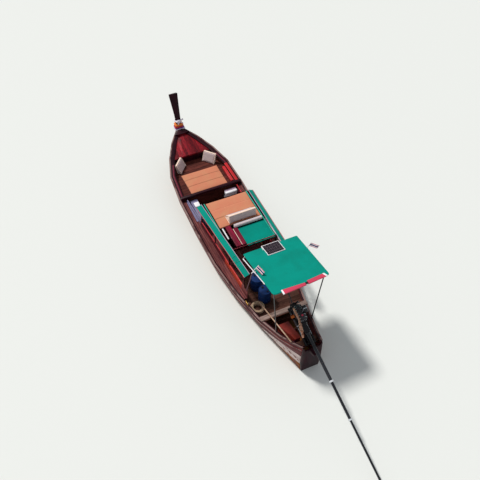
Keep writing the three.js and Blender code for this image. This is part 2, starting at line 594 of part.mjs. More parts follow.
// columns: x, outboard side, inboard side
const LOCKER = [[-3385, 375, 58], [-4095, 222, 45]];
const LOCKER_TOP = 770;
piece("stern_locker", inHold(loft(LOCKER.map(([x, outer, inner]) =>
  [[x, outer, -400], [x, outer, LOCKER_TOP], [x, inner, LOCKER_TOP], [x, inner, -400]]))), RED_PAINT);
const STERN_BEAM = { fore: -4255, aft: -4445, low: 800, top: 895 };
piece("stern_beam", inHold(slab(STERN_BEAM.aft, STERN_BEAM.fore, -700, 700, STERN_BEAM.low, STERN_BEAM.top)), WORN_WOOD);
const [pivotX, , pivotZ] = ENGINE_PIVOT;
const SOCKET = { foot: STERN_BEAM.top + GAP, top: 1050, floor: 930, radius: 58, flange: 88, bore: 33 };
piece("swivel_socket", cut(
  join(
    bar([pivotX, 0, SOCKET.foot], [pivotX, 0, SOCKET.top], SOCKET.radius, 24),
    bar([pivotX, 0, SOCKET.foot], [pivotX, 0, SOCKET.foot + 14], SOCKET.flange, 24),
  ),
  bar([pivotX, 0, SOCKET.floor], [pivotX, 0, SOCKET.top + 20], SOCKET.bore, 24),
), BLACK_IRON);

// Boat pole, laid from over the rope coil across the thwart to the gunwale at the stern
const POLE = { radius: 18, fore: -2370, rest: -2930, aft: -4235, y: 470, aftY: 425 };
const poleOver = (top) => top + GAP + POLE.radius * 1.03;
const poleRise = (poleOver(capTop(POLE.aft)) - poleOver(thwartFoot + THWART)) / (POLE.rest - POLE.aft);
const poleAt = (x) => {
  const t = (POLE.rest - x) / (POLE.rest - POLE.aft);
  return [x, POLE.y + (POLE.aftY - POLE.y) * t, poleOver(thwartFoot + THWART) + (POLE.rest - x) * poleRise];
};
piece("boat_pole", bar(poleAt(POLE.fore), poleAt(POLE.aft), POLE.radius, 12), POLE_WOOD);

// Aft roof on four posts, rising towards the stern
const roofAngle = Math.atan2(ROOF.aftTop - ROOF.foreTop, ROOF.fore - ROOF.aft);
const roofTopAt = (x) => ROOF.foreTop + ((ROOF.fore - x) * (ROOF.aftTop - ROOF.foreTop)) / (ROOF.fore - ROOF.aft);
const roofLength = Math.hypot(ROOF.fore - ROOF.aft, ROOF.aftTop - ROOF.foreTop);
const roof = new THREE.Group();
roof.position.set(ROOF.fore, 0, ROOF.foreTop);
roof.rotation.y = roofAngle;
boat.add(roof);
// in the roof's own frame x runs aft as negative and the top is at z = 0
const roofOutline = new THREE.Shape();
const ROOF_CORNER = 90;
roofOutline.moveTo(0, -ROOF.half);
roofOutline.lineTo(0, ROOF.half);
roofOutline.lineTo(-roofLength + ROOF_CORNER, ROOF.half);
roofOutline.absarc(-roofLength + ROOF_CORNER, ROOF.half - ROOF_CORNER, ROOF_CORNER, Math.PI / 2, Math.PI);
roofOutline.absarc(-roofLength + ROOF_CORNER, -ROOF.half + ROOF_CORNER, ROOF_CORNER, Math.PI, 1.5 * Math.PI);
piece("roof_panel", new THREE.ExtrudeGeometry(roofOutline, { depth: ROOF.thick, bevelEnabled: false, curveSegments: 6 })
  .translate(0, 0, -ROOF.thick), TEAL_CLOTH, roof);
piece("solar_panel", pad(-400, 45, -265, 265, GAP, 26, 5), SOLAR_GLASS, roof);

// Two blank boards on the roof's aft edge, turned a little to each other and joined by a cleat
const BOARD_THICK = 24;
const BOARDS = {
  port: [[-1805, 600], [-1972, 611], [-1942, -85], [-1842, -85]],
  starboard: [[-1802, -165], [-1936, -150], [-1890, -760], [-1757, -710]],
  cleat: [[-1835, -60], [-1905, -60], [-1905, -185], [-1835, -185]],
};
piece("name_board", join(
  profile(BOARDS.port, GAP, BOARD_THICK, "z"),
  profile(BOARDS.starboard, GAP, BOARD_THICK, "z"),
  profile(BOARDS.cleat, GAP, BOARD_THICK - 8, "z"),
), BOARD_PAINT, roof);

// each pair of posts: x of the feet, x of the heads
const ROOF_POSTS = [[-2010, -2480], [-3620, -3620]];
const roofFrameTop = (x) => roofTopAt(x) - ROOF.thick / Math.cos(roofAngle) - GAP;
const ROOF_BEAM = 36;
const ROOF_SIDE = 785;
const roofBeam = (side) => loft([ROOF.fore - 15, ROOF.aft + 60].map((x) => {
  const top = roofFrameTop(x);
  const [inner, outer] = [745, ROOF_SIDE];
  return [[x, side * inner, top], [x, side * outer, top], [x, side * outer, top - ROOF_BEAM], [x, side * inner, top - ROOF_BEAM]];
}));
const roofCross = (x) => loft([-765, 765].map((y) => {
  const half = 18;
  return [[x - half, y, roofFrameTop(x + half)], [x + half, y, roofFrameTop(x + half)],
    [x + half, y, roofFrameTop(x) - ROOF_BEAM], [x - half, y, roofFrameTop(x) - ROOF_BEAM]];
}), "y");
const ROOF_POST_RADIUS = 17;
const postRing = (x, y, z) => Array.from({ length: 10 }, (_, i) => {
  const t = (2 * Math.PI * i) / 10;
  return [x + ROOF_POST_RADIUS * Math.cos(t), y + ROOF_POST_RADIUS * Math.sin(t), z];
});
const roofPost = (foot, head, side) => {
  const onCoaming = foot > COAMING.aft;
  const low = onCoaming ? coamingAt(foot - ROOF_POST_RADIUS).top : capTop(foot - ROOF_POST_RADIUS);
  const y = onCoaming ? coamingAt(foot).y : sheerAt(foot).y - 20;
  return loft([postRing(foot, side * y, low + GAP), postRing(head, side * 765, roofFrameTop(head) - 15)], "z");
};
piece("roof_frame", join(
  ...[1, -1].map(roofBeam),
  ...[ROOF.fore - 40, -2480, -3050, ROOF.aft + 120].map(roofCross),
  ...ROOF_POSTS.flatMap(([foot, head]) => [1, -1].map((side) => roofPost(foot, head, side))),
), WHITE_PAINT);

// Flags on short leaning staffs, each held off the roof's side by an arm
const FLAG = { long: 270, deep: 115, thick: 6, staffRadius: 8, armRadius: 10, arm: -37 };
// lean is positive inboard, and fly is the way that the cloth streams, as x, y and z
function flag(name, { x, side, reach, staff, lean, fly }) {
  const z = roofTopAt(x) + FLAG.arm;
  const foot = new THREE.Vector3(x, side * reach, z);
  const up = new THREE.Vector3(0, -side * Math.sin(lean), Math.cos(lean));
  const away = new THREE.Vector3(...fly).normalize().multiplyScalar(FLAG.long);
  const across = new THREE.Vector3().crossVectors(away, up).setLength(FLAG.thick / 2);
  const ring = (start) => [[0, 1], [0, -1], [1, -1], [1, 1]].map(([high, face]) =>
    start.clone().addScaledVector(up, high * FLAG.deep).addScaledVector(across, face).toArray());
  const hoist = foot.clone().addScaledVector(up, staff - FLAG.deep - 8);
  piece(name, join(
    bar(foot.toArray(), foot.clone().addScaledVector(up, staff).toArray(), FLAG.staffRadius, 8),
    bar([x, side * (ROOF_SIDE + GAP), z], [x, side * (reach + FLAG.armRadius), z], FLAG.armRadius, 8),
    loft([ring(hoist), ring(hoist.clone().add(away))]),
  ), FLAG_CLOTH);
}
const { degToRad } = THREE.MathUtils;
flag("flag_port", { x: -2700, side: 1, reach: 960, staff: 310, lean: degToRad(40), fly: [-310, -83, -27] });
flag("flag_starboard", { x: -2500, side: -1, reach: 860, staff: 200, lean: degToRad(-30), fly: [-270, -170, 60] });

// Engine on its swivel, pointing down its tail
const yokeFoot = SOCKET.floor + GAP;
const EAR = { inner: 72, outer: 90, half: 34, hole: 16.5 };
const earOutline = (side) => {
  const points = [[-EAR.half, SOCKET.top + 10], [EAR.half, SOCKET.top + 10]];
  for (let i = 0; i <= 8; i++) {
    const t = (Math.PI * i) / 8;
    points.push([EAR.half * Math.cos(t), pivotZ + EAR.half * Math.sin(t)]);
  }
  return profile(points, side * EAR.inner, side * EAR.outer).translate(pivotX, 0, 0);
};
piece("swivel_yoke", cut(
  join(
    bar([pivotX, 0, yokeFoot], [pivotX, 0, SOCKET.top + 10], 30, 24),
    bar([pivotX, 0, SOCKET.top + GAP], [pivotX, 0, SOCKET.top + 22], 96, 24),
    earOutline(1), earOutline(-1),
  ),
  bar([pivotX, -200, pivotZ], [pivotX, 200, pivotZ], EAR.hole, 24),
), BLACK_IRON);

const engine = new THREE.Group();
engine.position.set(...ENGINE_PIVOT);
engine.rotation.y = -TAIL_SLOPE;
boat.add(engine);

const PIN = 16;
const RAILS = { inner: 120, outer: 162, top: -20, crossTop: -22, low: -80, aft: -235, fore: 930 };
const FACE = { gearbox: 60, housing: 330, front: 860 }; // along the shaft
piece("engine_cradle", join(
  ...[1, -1].map((side) => slab(RAILS.aft, RAILS.fore,
    Math.min(side * RAILS.inner, side * RAILS.outer), Math.max(side * RAILS.inner, side * RAILS.outer), RAILS.low, RAILS.top)),
  ...[RAILS.aft, 193, RAILS.fore - 45].map((x) => slab(x, x + 45, -140, 140, RAILS.low + 2, RAILS.crossTop)),
  slab(-215, 220, -58, 58, -38, -6),
  slab(-46, 46, -68, 68, -40, 26),
  bar([0, -98, 0], [0, 98, 0], PIN, 24),
), BLACK_IRON, engine);
const CRANK = SHAFT_LINE;
const FAN_Z = 205;
const fanBlade = (i) => slab(-10, 10, 20, 148, -26, 26)
  .rotateY(THREE.MathUtils.degToRad(38)).rotateX((i * Math.PI) / 3).translate(FACE.front + 62, 0, FAN_Z);
piece("engine_block", join(
  slab(FACE.housing + GAP, FACE.front, -112, 112, 0, 150),
  profile([[-112, 149], [112, 149], [88, 232], [-88, 232]], FACE.housing + GAP, FACE.front, "x"),
  slab(380, 800, -92, 92, -118, 2),
  ...[420, 760].map((x) => slab(x - 35, x + 35, -160, 160, RAILS.top + GAP, 12)),
  bar([FACE.front - 5, 0, CRANK], [FACE.front + 28, 0, CRANK], 72, 20),
  bar([FACE.front - 5, 0, FAN_Z], [FACE.front + 28, 0, FAN_Z], 46, 16),
  bar([FACE.front + 20, 0, FAN_Z], [FACE.front + 82, 0, FAN_Z], 34, 16),
  ...[0, 1, 2, 3, 4, 5].map(fanBlade),
  bar([700, -150, 60], [870, -150, 60], 52, 14),
  slab(720, 850, -150, -100, 45, 75),
), BLACK_IRON, engine);
const headFoot = 232 + GAP;
piece("cylinder_head", join(
  slab(350, 845, -84, 84, headFoot, 296),
  pad(365, 830, -62, 62, 285, 352, 24),
  slab(400, 800, -128, -80, 240, 285),
  bar([560, -160, 330], [740, -160, 330], 62, 16),
  bar([650, -118, 265], [650, -160, 320], 26, 10),
), RUSTY_STEEL, engine);
piece("gearbox", join(
  bar([FACE.housing, 0, CRANK + 6], [238, 0, CRANK + 6], 112, 20, 86),
  slab(FACE.gearbox, 245, -66, 66, 4, 178),
  slab(90, 215, -84, 84, 40, 150),
), BLACK_IRON, engine);
piece("exhaust", join(
  slab(400, 800, 84 + GAP, 128, 240, 290),
  pipe([[440, 112, 268], [360, 140, 300], [240, 175, 325], [100, 212, 335], [-80, 262, 338]], 27, 10, 20),
  bar([300, 156, 312], [90, 214, 335], 44, 14),
), RUSTY_STEEL, engine);
piece("tiller", join(
  slab(FACE.front + 40, RAILS.fore - 5, -30, 30, RAILS.crossTop + GAP, 8),
  pipe([[915, 0, -6], [1000, 0, 20], [1120, 0, 95], [1240, 0, 135], [1400, 0, 150]], 16, 10, 20),
  bar([1290, 0, 146], [1425, 0, 153], 23, 12),
), RUSTY_STEEL, engine);

// Tail: stepped tube with collars, a stay below it and a fin before the propeller
const tubeOutline = [
  [0, FACE.gearbox - GAP], [62, FACE.gearbox - GAP], [62, 20], [46, 10], [46, -1375], [58, -1380], [58, -1430], [38, -1435],
  [38, -2475], [49, -2480], [49, -2525], [30, -2530], [30, -4940], [40, -4950], [40, TAIL_END],
  [17, TAIL_END], [17, TAIL_END + 90], [0, TAIL_END + 90],
].reverse().map(([r, x]) => new THREE.Vector2(r, x));
const tube = new THREE.LatheGeometry(tubeOutline, 20).rotateZ(-Math.PI / 2).translate(0, 0, CRANK);
piece("tail_tube", join(
  tube,
  bar([-180, 0, 20], [-2480, 0, 40], 13, 8),
  ...[[-200, 20], [-1400, 31], [-2470, 40]].map(([x, z]) => slab(x - 12, x + 12, -10, 10, z - 8, 80)),
  profile([[-4930, 75], [-4520, 75], [-4700, -60], [-4860, -95], [-4920, -95]], -5, 5),
), BLACK_IRON, engine);

// Two bladed propeller on its own shaft
const propeller = new THREE.Group();
propeller.position.set(TAIL_END, 0, CRANK);
engine.add(propeller);
const BLADE = { thick: 6, pitch: 38, middle: -58 };
// half the blade's outline: half width and distance from the shaft
const bladeHalf = [[22, 12], [40, 55], [52, 95], [48, 130], [28, 158], [8, PROPELLER_RADIUS]];
const bladeOutline = [...bladeHalf, ...[...bladeHalf].reverse().map(([u, r]) => [-u, r])];
const blade = profile(bladeOutline, -BLADE.thick / 2, BLADE.thick / 2)
  .rotateZ(THREE.MathUtils.degToRad(90 - BLADE.pitch)).translate(BLADE.middle, 0, 0);
piece("propeller", join(
  bar([80, 0, 0], [-20, 0, 0], 16.3, 24),
  bar([-6, 0, 0], [-112, 0, 0], 30, 20, 20),
  blade, blade.clone().rotateX(Math.PI),
), BRONZE, propeller);

export default boat;
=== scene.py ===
import json
import math

import bmesh
import bpy
from mathutils import Matrix, Vector, noise


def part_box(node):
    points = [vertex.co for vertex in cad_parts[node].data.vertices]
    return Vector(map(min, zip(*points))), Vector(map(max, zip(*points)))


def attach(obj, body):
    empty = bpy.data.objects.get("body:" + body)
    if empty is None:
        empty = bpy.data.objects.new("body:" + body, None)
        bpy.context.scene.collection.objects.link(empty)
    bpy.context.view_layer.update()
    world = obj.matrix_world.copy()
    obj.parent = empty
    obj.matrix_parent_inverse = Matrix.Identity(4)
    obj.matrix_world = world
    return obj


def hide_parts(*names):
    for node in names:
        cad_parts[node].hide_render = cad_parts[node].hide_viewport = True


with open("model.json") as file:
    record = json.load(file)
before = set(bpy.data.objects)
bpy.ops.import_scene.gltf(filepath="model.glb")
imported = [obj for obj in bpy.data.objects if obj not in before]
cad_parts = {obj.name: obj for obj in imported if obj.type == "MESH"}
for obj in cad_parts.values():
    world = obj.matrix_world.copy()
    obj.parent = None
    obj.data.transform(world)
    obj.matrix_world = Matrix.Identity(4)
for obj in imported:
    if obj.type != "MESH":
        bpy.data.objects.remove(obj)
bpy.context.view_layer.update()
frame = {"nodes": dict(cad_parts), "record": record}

# Camera, fitted to the photograph
PHOTO_SIDE = 480
CAMERA_PLACE = (-13.376, 6.574, 17.987)
CAMERA_YAW = math.radians(-26.14)
CAMERA_PITCH = math.radians(-49.42)
CAMERA_ROLL = math.radians(1.52)
FOCAL_PIXELS = 725.9
SENSOR = 36.0

# Sizes that the frame's source has too
SAG = 0.012
DECK_Z = 1.400
LOUNGE_Z = 0.635
AFT_DECK_Z = 0.380
ROOF_FORE = Vector((-1.930, 0.0, 2.437))
ROOF_AFT = Vector((-3.750, 0.0, 2.792))
ROOF_HALF = 0.836
PIVOT = Vector((-4.350, 0.0, 1.180))
TAIL_SLOPE = math.radians(15.2)
SHAFT_LINE = 0.097

# Hull stations from bow to stern, each line with its own x because the stem rakes.
# columns: sheer x, y, z; knuckle x, y, z; bilge x, y, z
STATIONS = [
    (5.00, 0.158, 1.140, 4.78, 0.100, 0.740, 4.50, 0.055, 0.330),
    (4.60, 0.470, 1.040, 4.43, 0.310, 0.600, 4.20, 0.160, 0.180),
    (4.00, 0.800, 0.906, 3.92, 0.620, 0.430, 3.82, 0.350, 0.020),
    (3.30, 1.043, 0.774, 3.26, 0.900, 0.330, 3.22, 0.610, -0.060),
    (2.30, 1.124, 0.632, 2.30, 1.040, 0.270, 2.30, 0.800, -0.100),
    (1.00, 1.124, 0.528, 1.00, 1.075, 0.220, 1.00, 0.890, -0.120),
    (-0.50, 1.121, 0.511, -0.50, 1.070, 0.210, -0.50, 0.890, -0.120),
    (-1.70, 0.998, 0.511, -1.70, 0.960, 0.210, -1.70, 0.780, -0.110),
    (-2.90, 0.769, 0.522, -2.90, 0.735, 0.210, -2.90, 0.580, -0.100),
    (-3.80, 0.544, 0.723, -3.80, 0.535, 0.260, -3.80, 0.400, -0.070),
    (-4.25, 0.417, 0.918, -4.25, 0.430, 0.330, -4.25, 0.325, -0.050),
    (-4.63, 0.301, 1.132, -4.63, 0.320, 0.380, -4.63, 0.270, -0.020),
]
SHEER, KNUCKLE, BILGE = 0, 3, 6


def hull_point(line, along):
    """A point on one of the hull's port lines, from 0 at the bow to 1 at the stern, counted in stations."""
    place = along * (len(STATIONS) - 1)
    index = min(int(place), len(STATIONS) - 2)
    here, after = (Vector(STATIONS[i][line:line + 3]) for i in (index, index + 1))
    return here.lerp(after, place - index)


def sheer_at(x):
    """The port sheer's half breadth and height at x."""
    for ahead, behind in zip(STATIONS, STATIONS[1:]):
        if x >= behind[0] or behind is STATIONS[-1]:
            share = (ahead[0] - x) / (ahead[0] - behind[0])
            return (ahead[1] + (behind[1] - ahead[1]) * share, ahead[2] + (behind[2] - ahead[2]) * share)


def make_camera():
    bpy.ops.object.camera_add(location=CAMERA_PLACE)
    camera = bpy.context.object
    camera.data.sensor_width = SENSOR
    camera.data.lens = FOCAL_PIXELS / PHOTO_SIDE * SENSOR
    level = math.cos(CAMERA_PITCH)
    forward = Vector((math.cos(CAMERA_YAW) * level, math.sin(CAMERA_YAW) * level, math.sin(CAMERA_PITCH)))
    right = forward.cross(Vector((0, 0, 1))).normalized()
    up = right.cross(forward)
    rolled_right = math.cos(CAMERA_ROLL) * right + math.sin(CAMERA_ROLL) * up
    rolled_up = math.cos(CAMERA_ROLL) * up - math.sin(CAMERA_ROLL) * right
    turn = Matrix((rolled_right, rolled_up, -forward)).transposed()
    camera.matrix_world = Matrix.Translation(CAMERA_PLACE) @ turn.to_4x4()
    bpy.context.scene.camera = camera


make_camera()


# Modelling helpers
def only(piece):
    bpy.ops.object.select_all(action="DESELECT")
    piece.select_set(True)
    bpy.context.view_layer.objects.active = piece


def settle(piece):
    """Puts the piece's place into its mesh, so that its object sits at the origin."""
    only(piece)
    bpy.ops.object.transform_apply(location=True, rotation=True, scale=True)
    return piece


def editing(piece):
    only(piece)
    bpy.ops.object.mode_set(mode="EDIT")
    bpy.ops.mesh.select_mode(type="FACE")


def done_editing():
    bpy.ops.object.mode_set(mode="OBJECT")


def pick_faces(piece, test):
    """In edit mode, selects the faces whose centre and normal pass the test."""
    bpy.ops.mesh.select_all(action="DESELECT")
    shape = bmesh.from_edit_mesh(piece.data)
    for face in shape.faces:
        face.select_set(bool(test(face.calc_center_median(), face.normal)))
    bmesh.update_edit_mesh(piece.data)


def apply_modifiers(piece):
    only(piece)
    for modifier in list(piece.modifiers):
        bpy.ops.object.modifier_apply(modifier=modifier.name)
    return piece


def soften(piece, width=0.004, segments=2, angle=35):
    """Rounds the edges and shades the rounded faces smooth."""
    bevel = piece.modifiers.new("soft edges", "BEVEL")
    bevel.width = width
    bevel.segments = segments
    bevel.limit_method = "ANGLE"
    bevel.angle_limit = math.radians(angle)
    bevel.use_clamp_overlap = True
    apply_modifiers(piece)
    bpy.ops.object.shade_smooth_by_angle(angle=math.radians(angle))
    return piece


def finish(piece, material, body="hull", slot=None, node=None):
    """Gives a piece its material and its body, and hides the frame nodes that it stands for. The slot is not
    used.
    """
    if material is not None:
        piece.data.materials.clear()
        piece.data.materials.append(material)
    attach(piece, body)
    for name in [node] if isinstance(node, str) else node or []:
        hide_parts(name)
    return piece


def block(name, low, high, soft=0.0):
    """A block between two corners, with its edges rounded."""
    low, high = Vector(low), Vector(high)
    bpy.ops.object.select_all(action="DESELECT")
    bpy.ops.mesh.primitive_cube_add(size=1, location=(low + high) / 2, scale=high - low)
    piece = bpy.context.object
    piece.name = name
    settle(piece)
    return soften(piece, soft) if soft else piece


def bar(name, start, end, radius, sides=16, end_radius=None):
    """A round bar between two points, tapered where its end radius differs."""
    start, end = Vector(start), Vector(end)
    along = end - start
    bpy.ops.object.select_all(action="DESELECT")
    bpy.ops.mesh.primitive_cone_add(
        vertices=sides, radius1=radius, radius2=radius if end_radius is None else end_radius,
        depth=along.length, location=(start + end) / 2, rotation=along.to_track_quat("Z", "Y").to_euler())
    piece = bpy.context.object
    piece.name = name
    settle(piece)
    bpy.ops.object.shade_smooth_by_angle(angle=math.radians(35))
    return piece


def wire(name, points, radius, sides=2, smooth=True, cyclic=False):
    """A round rod, pipe or line along points, made as a curve and turned into a mesh."""
    bpy.ops.object.select_all(action="DESELECT")
    curve = bpy.data.curves.new(name, "CURVE")
    curve.dimensions = "3D"
    curve.bevel_depth = radius
    curve.bevel_resolution = sides
    curve.use_fill_caps = True
    curve.resolution_u = 6
    line = curve.splines.new("NURBS" if smooth else "POLY")
    line.points.add(len(points) - 1)
    for at, point in zip(line.points, points):
        at.co = (*point, 1)
    if smooth:
        line.order_u = 3
        line.use_endpoint_u = not cyclic
    line.use_cyclic_u = cyclic
    piece = bpy.data.objects.new(name, curve)
    bpy.context.scene.collection.objects.link(piece)
    only(piece)
    bpy.ops.object.convert(target="MESH")
    piece = bpy.context.object
    bpy.ops.object.shade_smooth_by_angle(angle=math.radians(50))
    return piece


def joined(name, pieces):
    """Several pieces as one mesh."""
    bpy.ops.object.select_all(action="DESELECT")
    for piece in pieces:
        piece.select_set(True)
    bpy.context.view_layer.objects.active = pieces[0]
    bpy.ops.object.join()
    pieces[0].name = name
    return pieces[0]


def grid(name, columns, rows, place, thick=0.0):
    """A grid of faces shaped by place(u, v), both from 0 to 1, with a wall behind it where thick is given."""
    bpy.ops.object.select_all(action="DESELECT")
    bpy.ops.mesh.primitive_grid_add(x_subdivisions=columns, y_subdivisions=rows, size=1, calc_uvs=True)
    piece = bpy.context.object
    piece.name = name
    for vertex in piece.data.vertices:
        vertex.co = place(vertex.co.x + 0.5, vertex.co.y + 0.5)
    if thick:
        wall = piece.modifiers.new("wall", "SOLIDIFY")
        wall.thickness = thick
        wall.offset = -1
        apply_modifiers(piece)
    only(piece)
    bpy.ops.object.shade_smooth_by_angle(angle=math.radians(40))
    return piece


def cut_size(place, count=40):
    """The flat width and length of a sheet shaped by place(u, v): the mean of its lines each way."""
    share = [i / count for i in range(count + 1)]
    spots = [[place(u, v) for v in share] for u in share]
    along = [sum((b[j] - a[j]).length for a, b in zip(spots, spots[1:])) for j in range(count + 1)]
    across = [sum((b - a).length for a, b in zip(row, row[1:])) for row in spots]
    return (sum(across) / len(across), sum(along) / len(along))


def merged_copy(node, name):
    """A copy of a frame node with its loose triangles merged into clean faces."""
    piece = bpy.data.objects.new(name, frame["nodes"][node].data.copy())
    bpy.context.scene.collection.objects.link(piece)
    editing(piece)
    bpy.ops.mesh.customdata_custom_splitnormals_clear()
    bpy.ops.mesh.select_all(action="SELECT")
    bpy.ops.mesh.remove_doubles(threshold=0.00002)
    bpy.ops.mesh.dissolve_limited(angle_limit=math.radians(0.8))
    done_editing()
    return piece


def score(piece, seams, width=0.006, depth=0.006, facing=(0, 0, 1), under=math.inf):
    """Cuts a groove along each seam, given as a point and the direction across it.

    Only faces that look along facing are cut, and those above the height under are left whole.
    """
    facing = Vector(facing).normalized()
    seams = [(Vector(point), Vector(across).normalized()) for point, across in seams]
    editing(piece)
    for point, across in seams:
        for side in (-1, 1):
            bpy.ops.mesh.select_all(action="SELECT")
            bpy.ops.mesh.bisect(plane_co=point + across * side * width / 2, plane_no=across)
    pick_faces(piece, lambda centre, normal: centre.z < under and normal.dot(facing) > 0.6 and any(
        abs((centre - point).dot(across)) < width * 0.49 for point, across in seams))
    bpy.ops.mesh.extrude_region_move(TRANSFORM_OT_translate={"value": -facing * depth})
    done_editing()
    return piece


# Colours and shared effects
def tone(code, alpha=1.0):
    """A colour written as in a paint chart, turned into the renderer's own light values."""
    parts = [int(code[i:i + 2], 16) / 255 for i in (0, 2, 4)]
    return (*[c / 12.92 if c <= 0.04045 else ((c + 0.055) / 1.055) ** 2.4 for c in parts], alpha)


def add(tree, kind, place=(0, 0), **values):
    node = tree.nodes.new(kind)
    node.location = place
    for key, value in values.items():
        setattr(node, key, value)
    return node


def wired(tree, kind, inputs, **values):
    """A shader node with its inputs set: a socket is linked and anything else is a value."""
    node = add(tree, kind, **values)
    for key, value in inputs.items():
        socket = node.inputs[key]
        if isinstance(value, bpy.types.NodeSocket):
            tree.links.new(value, socket)
        else:
            socket.default_value = value
    return node


def calc(tree, operation, first, second=0.0, clamp=False):
    node = wired(tree, "ShaderNodeMath", {0: first, 1: second}, operation=operation, use_clamp=clamp)
    return node.outputs[0]


def mixed(tree, share, first, second, blend="MIX"):
    node = wired(tree, "ShaderNodeMix", {0: share, 6: first, 7: second}, data_type="RGBA", blend_type=blend)
    return node.outputs[2]


def steps(tree, value, low, high):
    """The value stretched so that low becomes 0 and high becomes 1."""
    node = wired(tree, "ShaderNodeMapRange", {0: value, 1: low, 2: high}, interpolation_type="SMOOTHSTEP")
    return node.outputs[0]


def cloud(tree, vector, scale, detail=3.0, rough=0.55):
    node = wired(tree, "ShaderNodeTexNoise", {
        "Vector": vector, "Scale": scale, "Detail": detail, "Roughness": rough})
    return node.outputs["Fac"]


def scaled(tree, vector, by):
    node = wired(tree, "ShaderNodeVectorMath", {0: vector, 1: by}, operation="MULTIPLY")
    return node.outputs[0]


def grey_of(tree, value):
    """A value as a grey colour."""
    return wired(tree, "ShaderNodeCombineColor", {0: value, 1: value, 2: value}).outputs[0]


def new_group(name, inputs, outputs):
    """An empty shader group with named sockets, and its input and output nodes."""
    group = bpy.data.node_groups.new(name, "ShaderNodeTree")
    kinds = {"colour": "NodeSocketColor", "value": "NodeSocketFloat", "vector": "NodeSocketVector"}
    for label, kind, start in inputs:
        socket = group.interface.new_socket(label, in_out="INPUT", socket_type=kinds[kind])
        if start is not None:
            socket.default_value = start
    for label, kind in outputs:
        group.interface.new_socket(label, in_out="OUTPUT", socket_type=kinds[kind])
    return group, group.nodes.new("NodeGroupInput"), group.nodes.new("NodeGroupOutput")


def make_wood_group():
    """Boards side by side along the vector's Y, with grain along its X."""
    group, given, result = new_group("board_grain", [
        ("Vector", "vector", None), ("Light", "colour", tone("8a5040")), ("Dark", "colour", tone("4a2420")),
        ("Seam", "colour", tone("1a0c0c")), ("Board", "value", 0.12), ("Seam Width", "value", 0.03),
        ("Grain", "value", 1.0), ("Board Change", "value", 0.5)],
        [("Color", "colour"), ("Height", "value"), ("Board Tone", "value")])
    parts = wired(group, "ShaderNodeSeparateXYZ", {0: given.outputs["Vector"]})
    counted = calc(group, "DIVIDE", parts.outputs["Y"], given.outputs["Board"])
    index = calc(group, "FLOOR", counted)
    own = wired(group, "ShaderNodeTexWhiteNoise", {"W": index}, noise_dimensions="1D").outputs["Value"]
    along = calc(group, "MULTIPLY", own, 37.0)
    shift = wired(group, "ShaderNodeCombineXYZ", {0: along, 1: 0.0, 2: own}).outputs[0]
    moving = wired(group, "ShaderNodeVectorMath", {0: given.outputs["Vector"], 1: shift}, operation="ADD")
    moved = moving.outputs[0]
    fine = cloud(group, scaled(group, moved, (1.6, 26.0, 26.0)), 2.2, 5.0, 0.62)
    broad = cloud(group, scaled(group, moved, (0.7, 5.0, 5.0)), 1.3, 2.0)
    grain = calc(group, "ADD", calc(group, "MULTIPLY", fine, 0.62), calc(group, "MULTIPLY", broad, 0.38))
    grain = steps(group, grain, 0.34, 0.68)
    grain = calc(group, "MULTIPLY", grain, given.outputs["Grain"], clamp=True)
    wood = mixed(group, grain, given.outputs["Dark"], given.outputs["Light"])
    change = calc(group, "MULTIPLY", calc(group, "SUBTRACT", own, 0.5), given.outputs["Board Change"])
    wood = mixed(group, 1.0, wood, grey_of(group, calc(group, "ADD", change, 1.0)), "MULTIPLY")
    off_centre = calc(group, "ABSOLUTE", calc(group, "SUBTRACT", calc(group, "FRACT", counted), 0.5))
    seam = steps(group, off_centre, calc(group, "SUBTRACT", 0.5, given.outputs["Seam Width"]), 0.5)
    group.links.new(mixed(group, seam, wood, given.outputs["Seam"]), result.inputs["Color"])
    height = calc(group, "SUBTRACT", calc(group, "MULTIPLY", grain, 0.4), seam)
    group.links.new(height, result.inputs["Height"])
    group.links.new(own, result.inputs["Board Tone"])
    return group


PAINT_ROUGHNESS = 0.38


def make_wear_group():
    """Paint that is rubbed through in patches and streaked with dirt."""
    group, given, result = new_group("rubbed_paint", [
        ("Vector", "vector", None), ("Paint", "colour", tone("b03030")), ("Bare", "colour", tone("6a4030")),
        ("Dirt", "colour", tone("2a1a16")), ("Rubbed", "value", 0.3), ("Dirty", "value", 0.3),
        ("Patch", "value", 3.0), ("Streak", "value", 1.0)],
        [("Color", "colour"), ("Roughness", "value"), ("Height", "value")])
    stretch = wired(group, "ShaderNodeCombineXYZ", {0: given.outputs["Streak"], 1: 1.0, 2: 1.0}).outputs[0]
    along = scaled(group, given.outputs["Vector"], stretch)
    patch = cloud(group, along, given.outputs["Patch"], 6.0, 0.68)
    limit = calc(group, "SUBTRACT", 0.78, calc(group, "MULTIPLY", given.outputs["Rubbed"], 0.5))
    rubbed = steps(group, patch, limit, calc(group, "ADD", limit, 0.05))
    dirt = cloud(group, along, calc(group, "MULTIPLY", given.outputs["Patch"], 0.45), 4.0, 0.6)
    dirt = calc(group, "MULTIPLY", steps(group, dirt, 0.4, 0.75), given.outputs["Dirty"], clamp=True)
    colour = mixed(group, rubbed, given.outputs["Paint"], given.outputs["Bare"])
    group.links.new(mixed(group, dirt, colour, given.outputs["Dirt"]), result.inputs["Color"])
    rough = calc(group, "ADD", calc(group, "MULTIPLY", rubbed, 0.35), calc(group, "MULTIPLY", dirt, 0.25))
    group.links.new(calc(group, "ADD", rough, PAINT_ROUGHNESS, clamp=True), result.inputs["Roughness"])
    height = calc(group, "SUBTRACT", calc(group, "MULTIPLY", patch, 0.1), rubbed)
    group.links.new(height, result.inputs["Height"])
    return group


